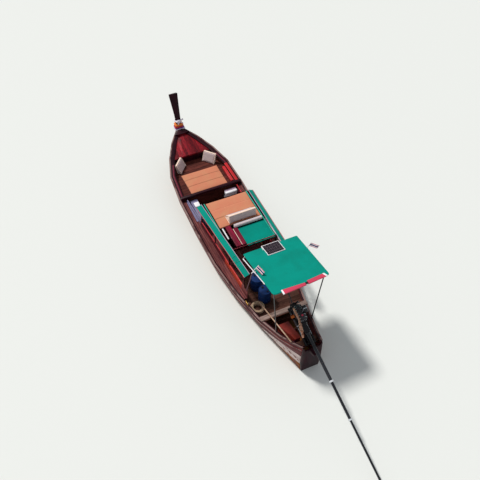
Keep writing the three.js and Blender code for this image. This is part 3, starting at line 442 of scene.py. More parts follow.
def make_weave_group():
    """Crossed threads with a soft change of tone, for canvas and cotton."""
    group, given, result = new_group("woven_cloth", [
        ("Vector", "vector", None), ("Cloth", "colour", tone("808080")), ("Faded", "colour", tone("a0a0a0")),
        ("Thread", "value", 400.0), ("Fading", "value", 0.5), ("Patch", "value", 2.5)],
        [("Color", "colour"), ("Height", "value")])
    threads = []
    for direction in ("X", "Y"):
        wave = wired(group, "ShaderNodeTexWave", {
            "Vector": given.outputs["Vector"], "Scale": given.outputs["Thread"], "Distortion": 0.6,
            "Detail": 1.0}, wave_type="BANDS", bands_direction=direction)
        threads.append(wave.outputs["Fac"])
    weave = calc(group, "MULTIPLY", threads[0], threads[1])
    patch = steps(group, cloud(group, given.outputs["Vector"], given.outputs["Patch"], 5.0, 0.6), 0.35, 0.7)
    cloth = mixed(group, calc(group, "MULTIPLY", patch, given.outputs["Fading"], clamp=True),
                  given.outputs["Cloth"], given.outputs["Faded"])
    shade = calc(group, "ADD", calc(group, "MULTIPLY", weave, 0.12), 0.92)
    group.links.new(mixed(group, 1.0, cloth, grey_of(group, shade), "MULTIPLY"), result.inputs["Color"])
    group.links.new(calc(group, "ADD", calc(group, "MULTIPLY", weave, 0.4), patch), result.inputs["Height"])
    return group


BOARD_GRAIN = make_wood_group()
RUBBED_PAINT = make_wear_group()
WOVEN_CLOTH = make_weave_group()


def new_material(name, roughness=0.5, metallic=0.0, coat=0.0, specular=0.12):
    material = bpy.data.materials.new(name)
    material.use_nodes = True
    surface = material.node_tree.nodes["Principled BSDF"]
    surface.inputs["Roughness"].default_value = roughness
    surface.inputs["Metallic"].default_value = metallic
    surface.inputs["Coat Weight"].default_value = coat
    surface.inputs["Coat Roughness"].default_value = 0.15
    surface.inputs["Specular IOR Level"].default_value = specular
    return material, material.node_tree, surface


def placed(tree, turn=(0, 0, 0)):
    """The place on the boat, turned so that boards run the way they should."""
    where = add(tree, "ShaderNodeTexCoord").outputs["Object"]
    return wired(tree, "ShaderNodeMapping", {"Vector": where, "Rotation": turn}).outputs[0]


def effect(tree, group, **inputs):
    node = add(tree, "ShaderNodeGroup", node_tree=group)
    for key, value in inputs.items():
        socket = node.inputs[key.replace("_", " ")]
        if isinstance(value, bpy.types.NodeSocket):
            tree.links.new(value, socket)
        else:
            socket.default_value = value
    return node


def bump(tree, surface, height, strength=0.3, distance=0.002):
    node = wired(tree, "ShaderNodeBump", {"Height": height, "Strength": strength, "Distance": distance})
    tree.links.new(node.outputs[0], surface.inputs["Normal"])


FORE_AND_AFT = (0, 0, 0)
UP_THE_SIDE = (math.radians(90), 0, 0)
ATHWART = (0, 0, math.radians(90))


def boards(name, light, dark, board, turn=FORE_AND_AFT, roughness=0.55, coat=0.0, seam="1a0c0c",
           seam_width=0.03, change=0.5, rubbed=0.0, bare="8a6a58", dirty=0.0, patch=3.0):
    """Planked or solid wood, varnished or bare, rubbed where it is worn."""
    material, tree, surface = new_material(name, roughness, coat=coat)
    vector = placed(tree, turn)
    wood = effect(tree, BOARD_GRAIN, Vector=vector, Light=tone(light), Dark=tone(dark), Seam=tone(seam),
                  Board=board, Seam_Width=seam_width, Board_Change=change)
    worn = effect(tree, RUBBED_PAINT, Vector=vector, Paint=wood.outputs["Color"], Bare=tone(bare),
                  Rubbed=rubbed, Dirty=dirty, Patch=patch, Streak=0.35)
    tree.links.new(worn.outputs["Color"], surface.inputs["Base Color"])
    change_of_gloss = calc(tree, "SUBTRACT", worn.outputs["Roughness"], PAINT_ROUGHNESS)
    rough = calc(tree, "ADD", change_of_gloss, roughness, clamp=True)
    tree.links.new(rough, surface.inputs["Roughness"])
    bump(tree, surface, wood.outputs["Height"], 0.5, 0.0015)
    return material


def paint(name, colour, bare, dirt, rubbed=0.25, dirty=0.3, patch=3.0, streak=0.4, coat=0.05, metallic=0.0):
    """Gloss paint, rubbed through and dirty in places."""
    material, tree, surface = new_material(name, metallic=metallic, coat=coat)
    worn = effect(tree, RUBBED_PAINT, Vector=placed(tree), Paint=tone(colour), Bare=tone(bare),
                  Dirt=tone(dirt), Rubbed=rubbed, Dirty=dirty, Patch=patch, Streak=streak)
    tree.links.new(worn.outputs["Color"], surface.inputs["Base Color"])
    tree.links.new(worn.outputs["Roughness"], surface.inputs["Roughness"])
    bump(tree, surface, worn.outputs["Height"], 0.25, 0.001)
    return material


def cloth(name, colour, faded, thread=260.0, fading=0.5, patch=2.5, roughness=0.85, sheen=0.2, depth=0.001,
          strength=0.3):
    """Woven cloth or coated canvas."""
    material, tree, surface = new_material(name, roughness, specular=0.02)
    surface.inputs["Sheen Weight"].default_value = sheen
    woven = effect(tree, WOVEN_CLOTH, Vector=placed(tree), Cloth=tone(colour), Faded=tone(faded),
                   Thread=thread, Fading=fading, Patch=patch)
    tree.links.new(woven.outputs["Color"], surface.inputs["Base Color"])
    bump(tree, surface, woven.outputs["Height"], strength, depth)
    return material


# Materials, named for this boat's own finishes
hull_red = boards("hull_red", "84403e", "50242a", 0.16, UP_THE_SIDE, 0.5, coat=0.03, seam_width=0.0,
                  change=0.3, rubbed=0.35, bare="a07a64", dirty=0.25, patch=2.2)
bottom_orange = boards("bottom_orange", "b06a24", "7a3c16", 0.16, UP_THE_SIDE, 0.6, seam_width=0.0,
                       change=0.4, rubbed=0.45, bare="8a6a48", dirty=0.35, patch=2.6)
dark_varnish = boards("dark_varnish", "380c1a", "16050d", 0.5, FORE_AND_AFT, 0.35, coat=0.08, seam_width=0.0,
                      change=0.1, rubbed=0.12, bare="6e3a38", dirty=0.1)
rail_pale = paint("rail_pale", "8e726e", "5e3a38", "3c2628", 0.45, 0.3, 4.0, 0.3)
line_maroon = paint("line_maroon", "6c2434", "5a2028", "2c1016", 0.3, 0.3, 4.0, 0.3)
hull_worn = boards("hull_worn", "a8706a", "64383a", 0.16, UP_THE_SIDE, 0.6, seam_width=0.0, change=0.3,
                   rubbed=0.75, bare="d2c0bc", dirty=0.3, patch=7.0)
foredeck_red = boards("foredeck_red", "a8242e", "4c0a18", 0.11, FORE_AND_AFT, 0.36, coat=0.08, seam="24060c",
                      seam_width=0.02, change=0.9, rubbed=0.16, bare="7a3a34", dirty=0.2, patch=1.6)
bench_red = boards("bench_red", "8c1c3a", "560c20", 0.115, FORE_AND_AFT, 0.38, coat=0.08, seam_width=0.0,
                   change=0.3)
worn_deck = boards("worn_deck", "965652", "5a2a30", 0.1, FORE_AND_AFT, 0.75, seam="20100e", seam_width=0.03,
                   change=0.6, rubbed=0.3, bare="a08474", dirty=0.35)
lounge_dark = boards("lounge_dark", "70362e", "381612", 0.14, ATHWART, 0.7, seam="140a0a", seam_width=0.03,
                     change=0.5, rubbed=0.2, bare="7c5040", dirty=0.35)
worn_across = boards("worn_across", "785044", "46281f", 0.11, ATHWART, 0.75, seam="1c100e", seam_width=0.03,
                     change=0.5, rubbed=0.2, dirty=0.4)
grey_thwart = boards("grey_thwart", "a89088", "6e5850", 0.3, ATHWART, 0.8, seam_width=0.0, dirty=0.2)
coaming_dark = paint("coaming_dark", "64202a", "8a4438", "2a1014", 0.3, 0.4, 3.0, 0.3)
coaming_orange = paint("coaming_orange", "b8402c", "d86a40", "5c1c20", 0.35, 0.4, 3.0, 0.25)
bright_red = paint("bright_red", "c4343a", "e07838", "6a1c1c", 0.22, 0.25, 2.4, 0.3)
seat_red = paint("seat_red", "bc2a2e", "8c3030", "7a2020", 0.15, 0.2, 3.0, 0.5)
locker_red = paint("locker_red", "9c382c", "6a2440", "3a1420", 0.42, 0.6, 2.2, 0.8)
white_gloss = paint("white_gloss", "eeecf0", "b0a8ac", "8c848c", 0.12, 0.25, 5.0, 0.6)
lavender_rail = paint("lavender_rail", "b49cb2", "8a6a78", "5c4450", 0.25, 0.4, 5.0, 0.4)
blue_grey = paint("blue_grey", "7c7898", "5c5870", "3c3a4c", 0.2, 0.35, 3.0, 0.7, 0.1)
teal_tarp = cloth("teal_tarp", "028e80", "067e70", 180.0, 0.8, 1.6, 0.6, 0.05, 0.002, 0.35)
teal_rope = cloth("teal_rope", "3cb8a4", "259484", 300.0, 0.6, 20.0, 0.8)
mat_orange = cloth("mat_orange", "cc8064", "c88e6c", 120.0, 0.8, 2.2, 0.7, 0.1, 0.002, 0.3)
cushion_grey = cloth("cushion_grey", "c8b4b6", "d4c2be", 300.0, 0.7, 7.0, 0.9, 0.3)
cushion_cream = cloth("cushion_cream", "fbe2d2", "f0cdb8", 300.0, 0.5, 7.0, 0.9, 0.2)
bolster_white = cloth("bolster_white", "dccfd2", "c4b4bc", 260.0, 0.7, 8.0, 0.9, 0.2)
name_pink = paint("name_pink", "c8405a", "b84a5c", "983848", 0.3, 0.25, 4.0, 1.0)
drum_blue = paint("drum_blue", "0e2e62", "24487c", "0a1424", 0.25, 0.45, 5.0, 1.0)
oily_black = paint("oily_black", "1c1a1e", "3c3836", "0c0b0c", 0.25, 0.5, 9.0, 1.0, 0.3, 0.3)
engine_grey = paint("engine_grey", "3c3a3e", "6c6664", "141214", 0.3, 0.6, 9.0, 1.0, 0.2, 0.4)
rusty_pipe = paint("rusty_pipe", "dca88e", "96583a", "6a3e30", 0.50, 0.40, 16.0, 1.0, 0.0, 0.2)
tube_black = paint("tube_black", "22242a", "4c4c50", "101014", 0.25, 0.4, 4.0, 0.25, 0.4, 0.3)
worn_bronze = paint("worn_bronze", "a8803e", "c8a05c", "4a5a44", 0.3, 0.4, 14.0, 1.0, 0.0, 0.9)
zinc_white = paint("zinc_white", "d8dce2", "9aa0a8", "6c7078", 0.3, 0.3, 20.0, 1.0, 0.1, 0.3)
post_mauve = paint("post_mauve", "70545e", "4c3840", "2c2024", 0.3, 0.3, 12.0, 1.0)
bamboo = boards("bamboo", "d2b29a", "a07e68", 0.5, FORE_AND_AFT, 0.55, seam_width=0.0, change=0.2, dirty=0.3)
trim_pink = paint("trim_pink", "c0505c", "a06a6c", "5c2830", 0.3, 0.3, 6.0, 0.4)
rubber = paint("rubber", "17181a", "2c2c2e", "3a3632", 0.2, 0.4, 12.0, 1.0, 0.0)
filter_orange = paint("filter_orange", "c8682c", "8c5a3c", "3a2018", 0.2, 0.4, 12.0, 1.0, 0.2)
ribbon_white = cloth("ribbon_white", "ece6ee", "cfc0dc", 500.0, 0.8, 14.0, 0.7, 0.3)
ribbon_purple = cloth("ribbon_purple", "6a3a86", "8a4a8e", 500.0, 0.6, 14.0, 0.6, 0.3)
ribbon_red = cloth("ribbon_red", "b82838", "cc4a50", 500.0, 0.6, 14.0, 0.6, 0.3)
ribbon_orange = cloth("ribbon_orange", "e47a34", "f09a50", 500.0, 0.6, 14.0, 0.6, 0.3)


def own_parts(tree):
    """The X, Y and Z of the piece's own UV map."""
    where = add(tree, "ShaderNodeTexCoord").outputs["UV"]
    return wired(tree, "ShaderNodeSeparateXYZ", {0: where}).outputs


def make_flag_stripes():
    """Red, white and broad blue stripes along the flag, by its own UV."""
    material, tree, surface = new_material("flag_stripes", 0.8, specular=0.2)
    parts = own_parts(tree)
    off_middle = calc(tree, "ABSOLUTE", calc(tree, "SUBTRACT", parts["Y"], 0.5))
    white = calc(tree, "GREATER_THAN", off_middle, 1 / 6)
    red = calc(tree, "GREATER_THAN", off_middle, 1 / 3)
    colour = mixed(tree, white, tone("30205a"), tone("ece4ec"))
    colour = mixed(tree, red, colour, tone("cc7c8c"))
    woven = effect(tree, WOVEN_CLOTH, Vector=placed(tree), Cloth=colour, Faded=colour, Thread=600.0,
                   Fading=0.0, Patch=4.0)
    tree.links.new(woven.outputs["Color"], surface.inputs["Base Color"])
    return material


def make_solar_cell():
    """Dark glass over square cells with thin pale lines between them, by the panel's own UV."""
    material, tree, surface = new_material("solar_cell", 0.18, coat=0.6)
    parts = own_parts(tree)
    lines = []
    for axis, count in (("X", 4), ("Y", 6)):
        place = calc(tree, "FRACT", calc(tree, "MULTIPLY", parts[axis], float(count)))
        off_middle = calc(tree, "ABSOLUTE", calc(tree, "SUBTRACT", place, 0.5))
        lines.append(calc(tree, "GREATER_THAN", off_middle, 0.482))
    grey = calc(tree, "MAXIMUM", *lines)
    tree.links.new(mixed(tree, grey, tone("20141e"), tone("75646e")), surface.inputs["Base Color"])
    return material


flag_stripes = make_flag_stripes()
solar_cell = make_solar_cell()


def make_rope_fibre():
    material, tree, surface = new_material("rope_fibre", 0.95, specular=0.2)
    woven = effect(tree, WOVEN_CLOTH, Vector=placed(tree), Cloth=tone("a88c74"), Faded=tone("cdb59c"),
                   Thread=220.0, Fading=0.9, Patch=18.0)
    tree.links.new(woven.outputs["Color"], surface.inputs["Base Color"])
    bump(tree, surface, woven.outputs["Height"], 0.4, 0.002)
    return material


rope_fibre = make_rope_fibre()


# Mooring rope: off the cleat, over the cap's edge and down to its coil on the aft deck
ROPE_RADIUS = 0.010
ROPE_ROUTE = [
    (-2.300, 0.8405, 0.5678), (-2.300, 0.830, 0.5678), (-2.300, 0.817, 0.5688), (-2.300, 0.802, 0.567),
    (-2.300, 0.792, 0.545), (-2.300, 0.785, 0.507), (-2.301, 0.779, 0.465), (-2.302, 0.769, 0.427),
    (-2.302, 0.752, 0.400), (-2.302, 0.731, 0.3907), (-2.298, 0.711, 0.3907), (-2.2917, 0.6937, 0.3907),
    (-2.2783, 0.6665, 0.3907),
]
COIL_CENTRE = (-2.480, 0.585)
COIL_RADII = (0.133, 0.196)
TURN_STEP = 0.021
LAYER_STEP = 0.0205
LAYERS = 6


def smooth_line(points, spacing=0.012):
    """Points on a smooth curve through the given ones."""
    found = []
    points = [Vector(p) for p in points]
    padded = [points[0] * 2 - points[1], *points, points[-1] * 2 - points[-2]]
    for before, start, end, after in zip(padded, padded[1:], padded[2:], padded[3:]):
        count = max(2, round((end - start).length / spacing))
        for i in range(count):
            t = i / count
            square = (2 * before - 5 * start + 4 * end - after) * t ** 2
            cube = (3 * start - before - 3 * end + after) * t ** 3
            found.append(0.5 * (2 * start + (end - before) * t + square + cube))
    return [*found, points[-1]]


def coil_points():
    """Turns laid clockwise from where the lead comes in, inwards and outwards by turns, layer on layer."""
    inner, outer = COIL_RADII
    turns = (outer - inner) / TURN_STEP
    lead = Vector(ROPE_ROUTE[-1][:2]) - Vector(COIL_CENTRE)
    # each row: turns made, radius at the end, layer at the end
    stages = [(0.2, outer, 0)]
    for layer in range(LAYERS):
        edge = inner if layer % 2 == 0 else outer
        stages += [(turns, edge, layer), (0.2, edge, layer + 1)]
    stages[-1] = (0.6, stages[-2][1], LAYERS - 1)
    angle, radius, height = math.atan2(lead.y, lead.x), lead.length, 0.0
    found = []
    for made, end_radius, end_height in stages:
        count = max(3, round(made * 26))
        for i in range(1, count + 1):
            share = i / count
            at = angle - made * 2 * math.pi * share
            here = radius + (end_radius - radius) * share
            up = height + (end_height - height) * share * share * (3 - 2 * share)
            found.append(Vector((COIL_CENTRE[0] + here * math.cos(at), COIL_CENTRE[1] + here * math.sin(at),
                                 ROPE_ROUTE[-1][2] + up * LAYER_STEP)))
        angle, radius, height = angle - made * 2 * math.pi, end_radius, end_height
    return found


def line_length(points):
    return sum((b - a).length for a, b in zip(points, points[1:]))


def laid_rope(name, points, radius, sides=9, lay=7.0):
    """A three strand rope as a tube whose three lobes turn along its length."""
    points = [Vector(p) for p in points]
    mesh = bpy.data.meshes.new(name)
    corners, faces = [], []
    side = Vector((0, 0, 1))
    travelled = 0.0
    for i, point in enumerate(points):
        ahead = (points[min(i + 1, len(points) - 1)] - points[max(i - 1, 0)]).normalized()
        side = (side - ahead * side.dot(ahead)).normalized()
        across = ahead.cross(side)
        travelled += (point - points[max(i - 1, 0)]).length
        twist = travelled / (lay * radius) * math.pi
        for k in range(sides):
            turn = 2 * math.pi * k / sides
            lobe = radius * (0.84 + 0.16 * math.cos(3 * (turn - twist)))
            corners.append(point + (side * math.cos(turn) + across * math.sin(turn)) * lobe)
    for i in range(len(points) - 1):
        for k in range(sides):
            a, b = i * sides + k, i * sides + (k + 1) % sides
            faces.append((a, b, b + sides, a + sides))
    faces.append(tuple(reversed(range(sides))))
    faces.append(tuple(range(len(corners) - sides, len(corners))))
    mesh.from_pydata([tuple(c) for c in corners], [], faces)
    mesh.validate()
    piece = bpy.data.objects.new(name, mesh)
    bpy.context.scene.collection.objects.link(piece)
    editing(piece)
    bpy.ops.mesh.select_all(action="SELECT")
    bpy.ops.mesh.normals_make_consistent(inside=False)
    done_editing()
    only(piece)
    bpy.ops.object.shade_smooth_by_angle(angle=math.radians(60))
    return piece


def make_mooring_rope():
    points = smooth_line([*ROPE_ROUTE, *coil_points()], 0.016)
    rope = laid_rope("mooring_rope", points, ROPE_RADIUS)
    finish(rope, rope_fibre, slot="rope_fibre", node=["rope_lead", "rope_coil"])
    whipping = wire("rope_whipping", [points[-4], points[-1]], ROPE_RADIUS * 1.12, 3, smooth=False)
    finish(whipping, white_gloss)
    line_length(points)


make_mooring_rope()

# Frame nodes that keep their form get softened edges and their finish
# columns: node, material, edge width, body
KEPT_FORMS = [
    ("side_planking_port", hull_red, 0.0, "hull"),
    ("side_planking_starboard", hull_red, 0.0, "hull"),
    ("bottom_planking", bottom_orange, 0.0, "hull"),
    ("keel", bottom_orange, 0.006, "hull"),
    ("stem_post", dark_varnish, 0.010, "hull"),
    ("transom", dark_varnish, 0.004, "hull"),
    ("gunwale_port", dark_varnish, 0.007, "hull"),
    ("gunwale_starboard", dark_varnish, 0.007, "hull"),
    ("frames", worn_across, 0.0, "hull"),
    ("bow_bulkhead", dark_varnish, 0.0, "hull"),
    ("crossbeam", dark_varnish, 0.012, "hull"),
    ("side_locker", blue_grey, 0.008, "hull"),
    ("side_seat", seat_red, 0.012, "hull"),
    ("canopy_frame", dark_varnish, 0.004, "hull"),
    ("sun_deck", dark_varnish, 0.004, "hull"),
    ("fuel_drum_forward", drum_blue, 0.006, "hull"),
    ("fuel_drum_aft", drum_blue, 0.006, "hull"),
    ("mooring_cleat", worn_bronze, 0.003, "hull"),
    ("aft_thwart", grey_thwart, 0.006, "hull"),
    ("stern_locker", locker_red, 0.010, "hull"),
    ("boat_pole", bamboo, 0.003, "hull"),
    ("stern_beam", worn_across, 0.006, "hull"),
    ("swivel_socket", oily_black, 0.003, "hull"),
    ("swivel_yoke", oily_black, 0.003, "swivel"),
    ("engine_cradle", oily_black, 0.004, "engine"),
    ("engine_block", oily_black, 0.006, "engine"),
    ("cylinder_head", engine_grey, 0.006, "engine"),
    ("gearbox", oily_black, 0.008, "engine"),
    ("exhaust", rusty_pipe, 0.004, "engine"),
    ("tiller", engine_grey, 0.003, "engine"),
    ("tail_tube", tube_black, 0.003, "engine"),
    ("propeller", worn_bronze, 0.001, "propeller"),
]
slot_of = {part["node"]: part["material_slot"] for part in frame["record"]["subparts"]}


def split(piece, places):
    """Cuts the piece's faces across at each x, so that its parts can be painted apart."""
    editing(piece)
    for x in places:
        bpy.ops.mesh.select_all(action="SELECT")
        bpy.ops.mesh.bisect(plane_co=(x, 0, 0), plane_no=(1, 0, 0))
    done_editing()


def assign(piece, material, test):
    """Gives the faces that pass the test a further material."""
    piece.data.materials.append(material)
    index = len(piece.data.materials) - 1
    for face in piece.data.polygons:
        if test(face.center, face.normal):
            face.material_index = index


COAMING_CUTS = (1.16, -0.60, -1.72)


def dress_coaming(word):
    """A red top edge, dark outside forward and orange aft; to port its fore end matches the locker."""
    piece = merged_copy(f"coaming_{word}", f"coaming_{word}_finished")
    split(piece, COAMING_CUTS)
    soften(piece, 0.005)
    finish(piece, bright_red, slot=slot_of[f"coaming_{word}"], node=f"coaming_{word}")
    fore, middle, aft = COAMING_CUTS
    assign(piece, coaming_dark, lambda c, n: n.z < 0.5 and c.x > middle)
    assign(piece, coaming_orange, lambda c, n: n.z < 0.5 and aft < c.x < middle)
    assign(piece, worn_deck, lambda c, n: c.x < aft)
    if word == "port":
        assign(piece, blue_grey, lambda c, n: c.x > fore)


def dress_kept_forms():
    for node, material, width, body in KEPT_FORMS:
        if not width:
            kept = frame["nodes"][node]
            kept.data.materials.clear()
            kept.data.materials.append(material)
            continue
        piece = merged_copy(node, node + "_finished")
        soften(piece, width)
        finish(piece, material, body, slot_of[node], node)


dress_kept_forms()
for coaming_side in ("port", "starboard"):
    dress_coaming(coaming_side)


SIDE_DECK_SEAMS = (0.800, 0.870, 0.940, 1.010, 1.060)
SIDE_DECK_GROOVE = 0.012
# The port side deck is painted with the locker forward of the first and inboard of the second
PAINTED_FROM, PAINTED_INSIDE = 1.30, 0.955
# The foredeck's boards have one width at its aft edge and would all meet at a point ahead of the stem
FOREDECK_AFT, FOREDECK_BOARD = 3.945, 0.092
FOREDECK_MEETING = Vector((7.2, 0, 0))


def dress_decks():
    """Boards of the foredeck, side decks, sole, lounge and aft deck, with a groove between them."""
    foredeck = merged_copy("foredeck", "foredeck_boards")
    seams = []
    for k in range(-8, 9):
        end = Vector((FOREDECK_AFT, k * FOREDECK_BOARD, 0))
        along = (FOREDECK_MEETING - end).normalized()
        seams.append((end, along.cross(Vector((0, 0, 1)))))
    score(foredeck, seams, 0.005, 0.005)
    bpy.ops.object.shade_flat()
    finish(foredeck, foredeck_red, slot=slot_of["foredeck"], node="foredeck")
    for side, word in ((1, "port"), (-1, "starboard")):
        deck = merged_copy(f"side_deck_{word}", f"side_deck_boards_{word}")
        seams = [((0, side * y, 0), (0, 1, 0)) for y in SIDE_DECK_SEAMS]
        score(deck, seams, SIDE_DECK_GROOVE, 0.008)
        bpy.ops.object.shade_flat()
        if side == 1:
            split(deck, (PAINTED_FROM,))
        finish(deck, worn_deck, slot=slot_of[f"side_deck_{word}"], node=f"side_deck_{word}")
        if side == 1:
            assign(deck, blue_grey, lambda c, n: c.x > PAINTED_FROM and c.y < PAINTED_INSIDE)
        near = SIDE_DECK_GROOVE / 2 + 0.001
        assign(deck, dark_varnish, lambda c, n: any(abs(abs(c.y) - y) < near for y in SIDE_DECK_SEAMS))
    for node, material, seams in (
            ("sole", worn_deck, [((0, y * 0.15, 0), (0, 1, 0)) for y in range(-5, 6)]),
            ("lounge_deck", lounge_dark, [((2.5 + k * 0.14, 0, 0), (1, 0, 0)) for k in range(11)]),
            ("aft_deck", worn_across, [((-1.12 - k * 0.14, 0, 0), (1, 0, 0)) for k in range(14)])):
        deck = merged_copy(node, f"{node}_boards")
        score(deck, seams, 0.007, 0.006)
        bpy.ops.object.shade_flat()
        finish(deck, material, slot=slot_of[node], node=node)


dress_decks()


# Strakes on the hull's sides, each lapped a little over the one below
def make_strakes():
    rail_low = 0.133
    # the pale patch worn at the stern lies below a line that rises aft from here
    worn_start, worn_rise = Vector((-3.05, 0, 0.225)), 0.32
    # each strake's top and low edge: 0 under the rub rail, 1 at the knuckle, 2 at the bilge
    rows = [(0.0, 0.34), (0.34, 0.67), (0.67, 1.0), (1.0, 1.5), (1.5, 1.97)]
    for side, word in ((1, "port"), (-1, "starboard")):
        planks = []
        for index, (top, low) in enumerate(rows):
            def place(u, v, top=top, low=low):
                down = low + (top - low) * v
                sheer, knuckle, bilge = (hull_point(line, u) for line in (SHEER, KNUCKLE, BILGE))
                start = sheer.lerp(knuckle, rail_low / (sheer.z - knuckle.z))
                point = start.lerp(knuckle, down) if down <= 1 else knuckle.lerp(bilge, down - 1)
                point.y += 0.004 + 0.007 * (1 - v)
                return Vector((point.x, side * point.y, point.z))
            plank = grid(f"strake_{index}_{word}", 67, 3, place)
            editing(plank)
            bpy.ops.mesh.select_all(action="SELECT")
            bpy.ops.mesh.normals_make_consistent(inside=False)
            done_editing()
            outward = sum(p.normal.y * p.area for p in plank.data.polygons) * side > 0
            wall = plank.modifiers.new("wall", "SOLIDIFY")
            wall.thickness = 0.009
            wall.offset = -1 if outward else 1
            apply_modifiers(plank)
            planks.append(plank)
        sides = joined(f"side_strakes_{word}", planks[:3])
        editing(sides)
        bpy.ops.mesh.select_all(action="SELECT")
        bpy.ops.mesh.bisect(plane_co=worn_start, plane_no=(worn_rise, 0, 1))
        done_editing()
        finish(sides, hull_red, slot="hull_paint")
        assign(sides, hull_worn, lambda c, n: (c - worn_start).dot(Vector((worn_rise, 0, 1))) < 0)
        finish(joined(f"bottom_strakes_{word}", planks[3:]), bottom_orange, slot="bottom_paint")


make_strakes()


# Bow lounge, sun deck and other soft goods
def cushion(name, low, high, crown, pinch, cuts):
    """A boxed cushion: crowned on top, its sides drawn in between the corners."""
    low, high = Vector(low), Vector(high)
    piece = block(name, low, high)
    editing(piece)
    bpy.ops.mesh.select_all(action="SELECT")
    bpy.ops.mesh.subdivide(number_cuts=cuts)
    done_editing()
    size = high - low
    for vertex in piece.data.vertices:
        u, v, w = ((vertex.co - low)[i] / size[i] * 2 - 1 for i in range(3))
        edge = (1 - abs(u) ** 6) * (1 - abs(v) ** 6)
        if w > 0:
            vertex.co.z += (crown * (1 - u * u) * (1 - v * v) - 0.35 * size.z * (1 - edge)) * w
        vertex.co.x -= math.copysign(pinch * (1 - v * v), u) * abs(u) ** 5
        vertex.co.y -= math.copysign(pinch * (1 - u * u), v) * abs(v) ** 5
    return soften(piece, 0.006, 2, 40)


def make_mats():
    for name, node, seams in (
            ("bow_mat_cover", "bow_mat", (2.73, 3.04)),
            ("sun_mat_cover", "sun_mat", (0.39, 0.75))):
        low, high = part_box(node)
        mat = cushion(name, low, high - Vector((0, 0, 0.004)), 0.004, 0.006, 20)
        score(mat, [((x, 0, 0), (1, 0, 0)) for x in seams], 0.004, 0.002)
        finish(mat, mat_orange, slot="mat_vinyl", node=node)


make_mats()


STUFFING_PRESSURE = 4.0


def stuffed(piece, voxel, cap, inset):
    """Swells a closed piece with the cloth simulation, no point further than cap from where it starts."""
    remesh = piece.modifiers.new("even faces", "REMESH")
    remesh.mode = "VOXEL"
    remesh.voxel_size = voxel
    apply_modifiers(piece)
    start = []
    for vertex in piece.data.vertices:
        vertex.co -= vertex.normal * inset
        start.append(vertex.co.copy())
    scene = bpy.context.scene
    stuffing = piece.modifiers.new("stuffing", "CLOTH")
    stuffing.settings.use_pressure = True
    stuffing.settings.uniform_pressure_force = STUFFING_PRESSURE
    stuffing.settings.effector_weights.gravity = 0
    stuffing.point_cache.frame_start = 1
    stuffing.point_cache.frame_end = 20
    for frame_number in range(1, 21):
        scene.frame_set(frame_number)
    apply_modifiers(piece)
    scene.frame_set(1)
    for vertex, before in zip(piece.data.vertices, start):
        moved = vertex.co - before
        if moved.length > cap:
            vertex.co = before + moved * (cap / moved.length)
    only(piece)
    bpy.ops.object.shade_smooth()
    return piece


def piping(name, points, radius):
    """A cream edge cord sewn round a cushion's side."""
    piece = wire(name, points, radius, 2, smooth=False, cyclic=True)
    return finish(piece, cushion_cream, slot="cushion_cloth")


# A wedge cushion's foot on the lounge, its turn, its half width and its outline from its foot up
WEDGE_X, WEDGE_Y, WEDGE_TURN = 3.730, 0.575, math.radians(48)
WEDGE_HALF = 0.213
WEDGE_OUTLINE = [(-0.175, 0.012), (-0.024, 0.012), (0.040, 0.318), (-0.008, 0.322)]


def make_wedges():
    """Triangular cushions of the bow lounge: grey faces with cream piped edges."""
    for side, word in ((1, "port"), (-1, "starboard")):
        node = f"wedge_cushion_{word}"
        cushion_body = stuffed(merged_copy(node, f"{node}_cover"), 0.008, 0.012, 0.006)
        finish(cushion_body, cushion_grey, slot=slot_of[node], node=node)
        foot = Matrix.Translation((WEDGE_X, side * WEDGE_Y, LOUNGE_Z))
        place = foot @ Matrix.Rotation(side * WEDGE_TURN, 4, "Z")
        for end, label in ((-WEDGE_HALF, "inner"), (WEDGE_HALF, "outer")):
            corners = [place @ Vector((u, end, h)) for u, h in WEDGE_OUTLINE]
            piping(f"{node}_piping_{label}", corners, 0.010)
        ridge = block(f"{node}_ridge", (-0.008, -WEDGE_HALF, 0.310), (0.042, WEDGE_HALF, 0.330))
        ridge.matrix_world = place
        finish(soften(settle(ridge), 0.008), cushion_cream, slot="cushion_cloth")


make_wedges()


# The backrest's outline in x and z, and where its edge cords lie across the boat
BACKREST_OUTLINE = [(0.036, 1.478), (0.384, 1.478), (0.128, 1.751), (0.082, 1.751)]
BACKREST_CORDS = [(-0.534, "starboard"), (-0.090, "middle"), (0.354, "port")]


def make_backrest():
    """Wedge backrest on the sun deck, two grey panels in cream edges."""
    back = stuffed(merged_copy("backrest", "backrest_cover"), 0.009, 0.014, 0.007)
    finish(back, cushion_grey, slot="cushion_cloth", node="backrest")
    assign(back, cushion_cream, lambda c, n: c.y > 0.335 and n.y > 0.4)
    for y, label in BACKREST_CORDS:
        piping(f"backrest_piping_{label}", [(x, y, z) for x, z in BACKREST_OUTLINE], 0.009)
    top = block("backrest_top", (0.078, -0.536, 1.738), (0.132, 0.356, 1.757), 0.008)
    finish(top, cushion_cream, slot="cushion_cloth")


make_backrest()


BOLSTER_X, BOLSTER_Z, BOLSTER_RADIUS = -0.095, 1.466, 0.058


def ring_points(place, radius, count):
    """Points round a circle of the radius, each given to place(u, v)."""
    turns = [2 * math.pi * i / count for i in range(count)]
    return [place(radius * math.cos(t), radius * math.sin(t)) for t in turns]


def make_bolster():
    roll = stuffed(merged_copy("bolster", "bolster_cover"), 0.007, 0.008, 0.005)
    finish(roll, bolster_white, slot="bolster_cloth", node="bolster")
    for y, label in ((-0.655, "starboard"), (0.265, "port")):
        ring = ring_points(lambda u, v: (BOLSTER_X + u, y, BOLSTER_Z + v), BOLSTER_RADIUS, 20)
        piece = wire(f"bolster_piping_{label}", ring, 0.005, 2, smooth=False, cyclic=True)
        finish(piece, cushion_cream, slot="bolster_cloth")


make_bolster()


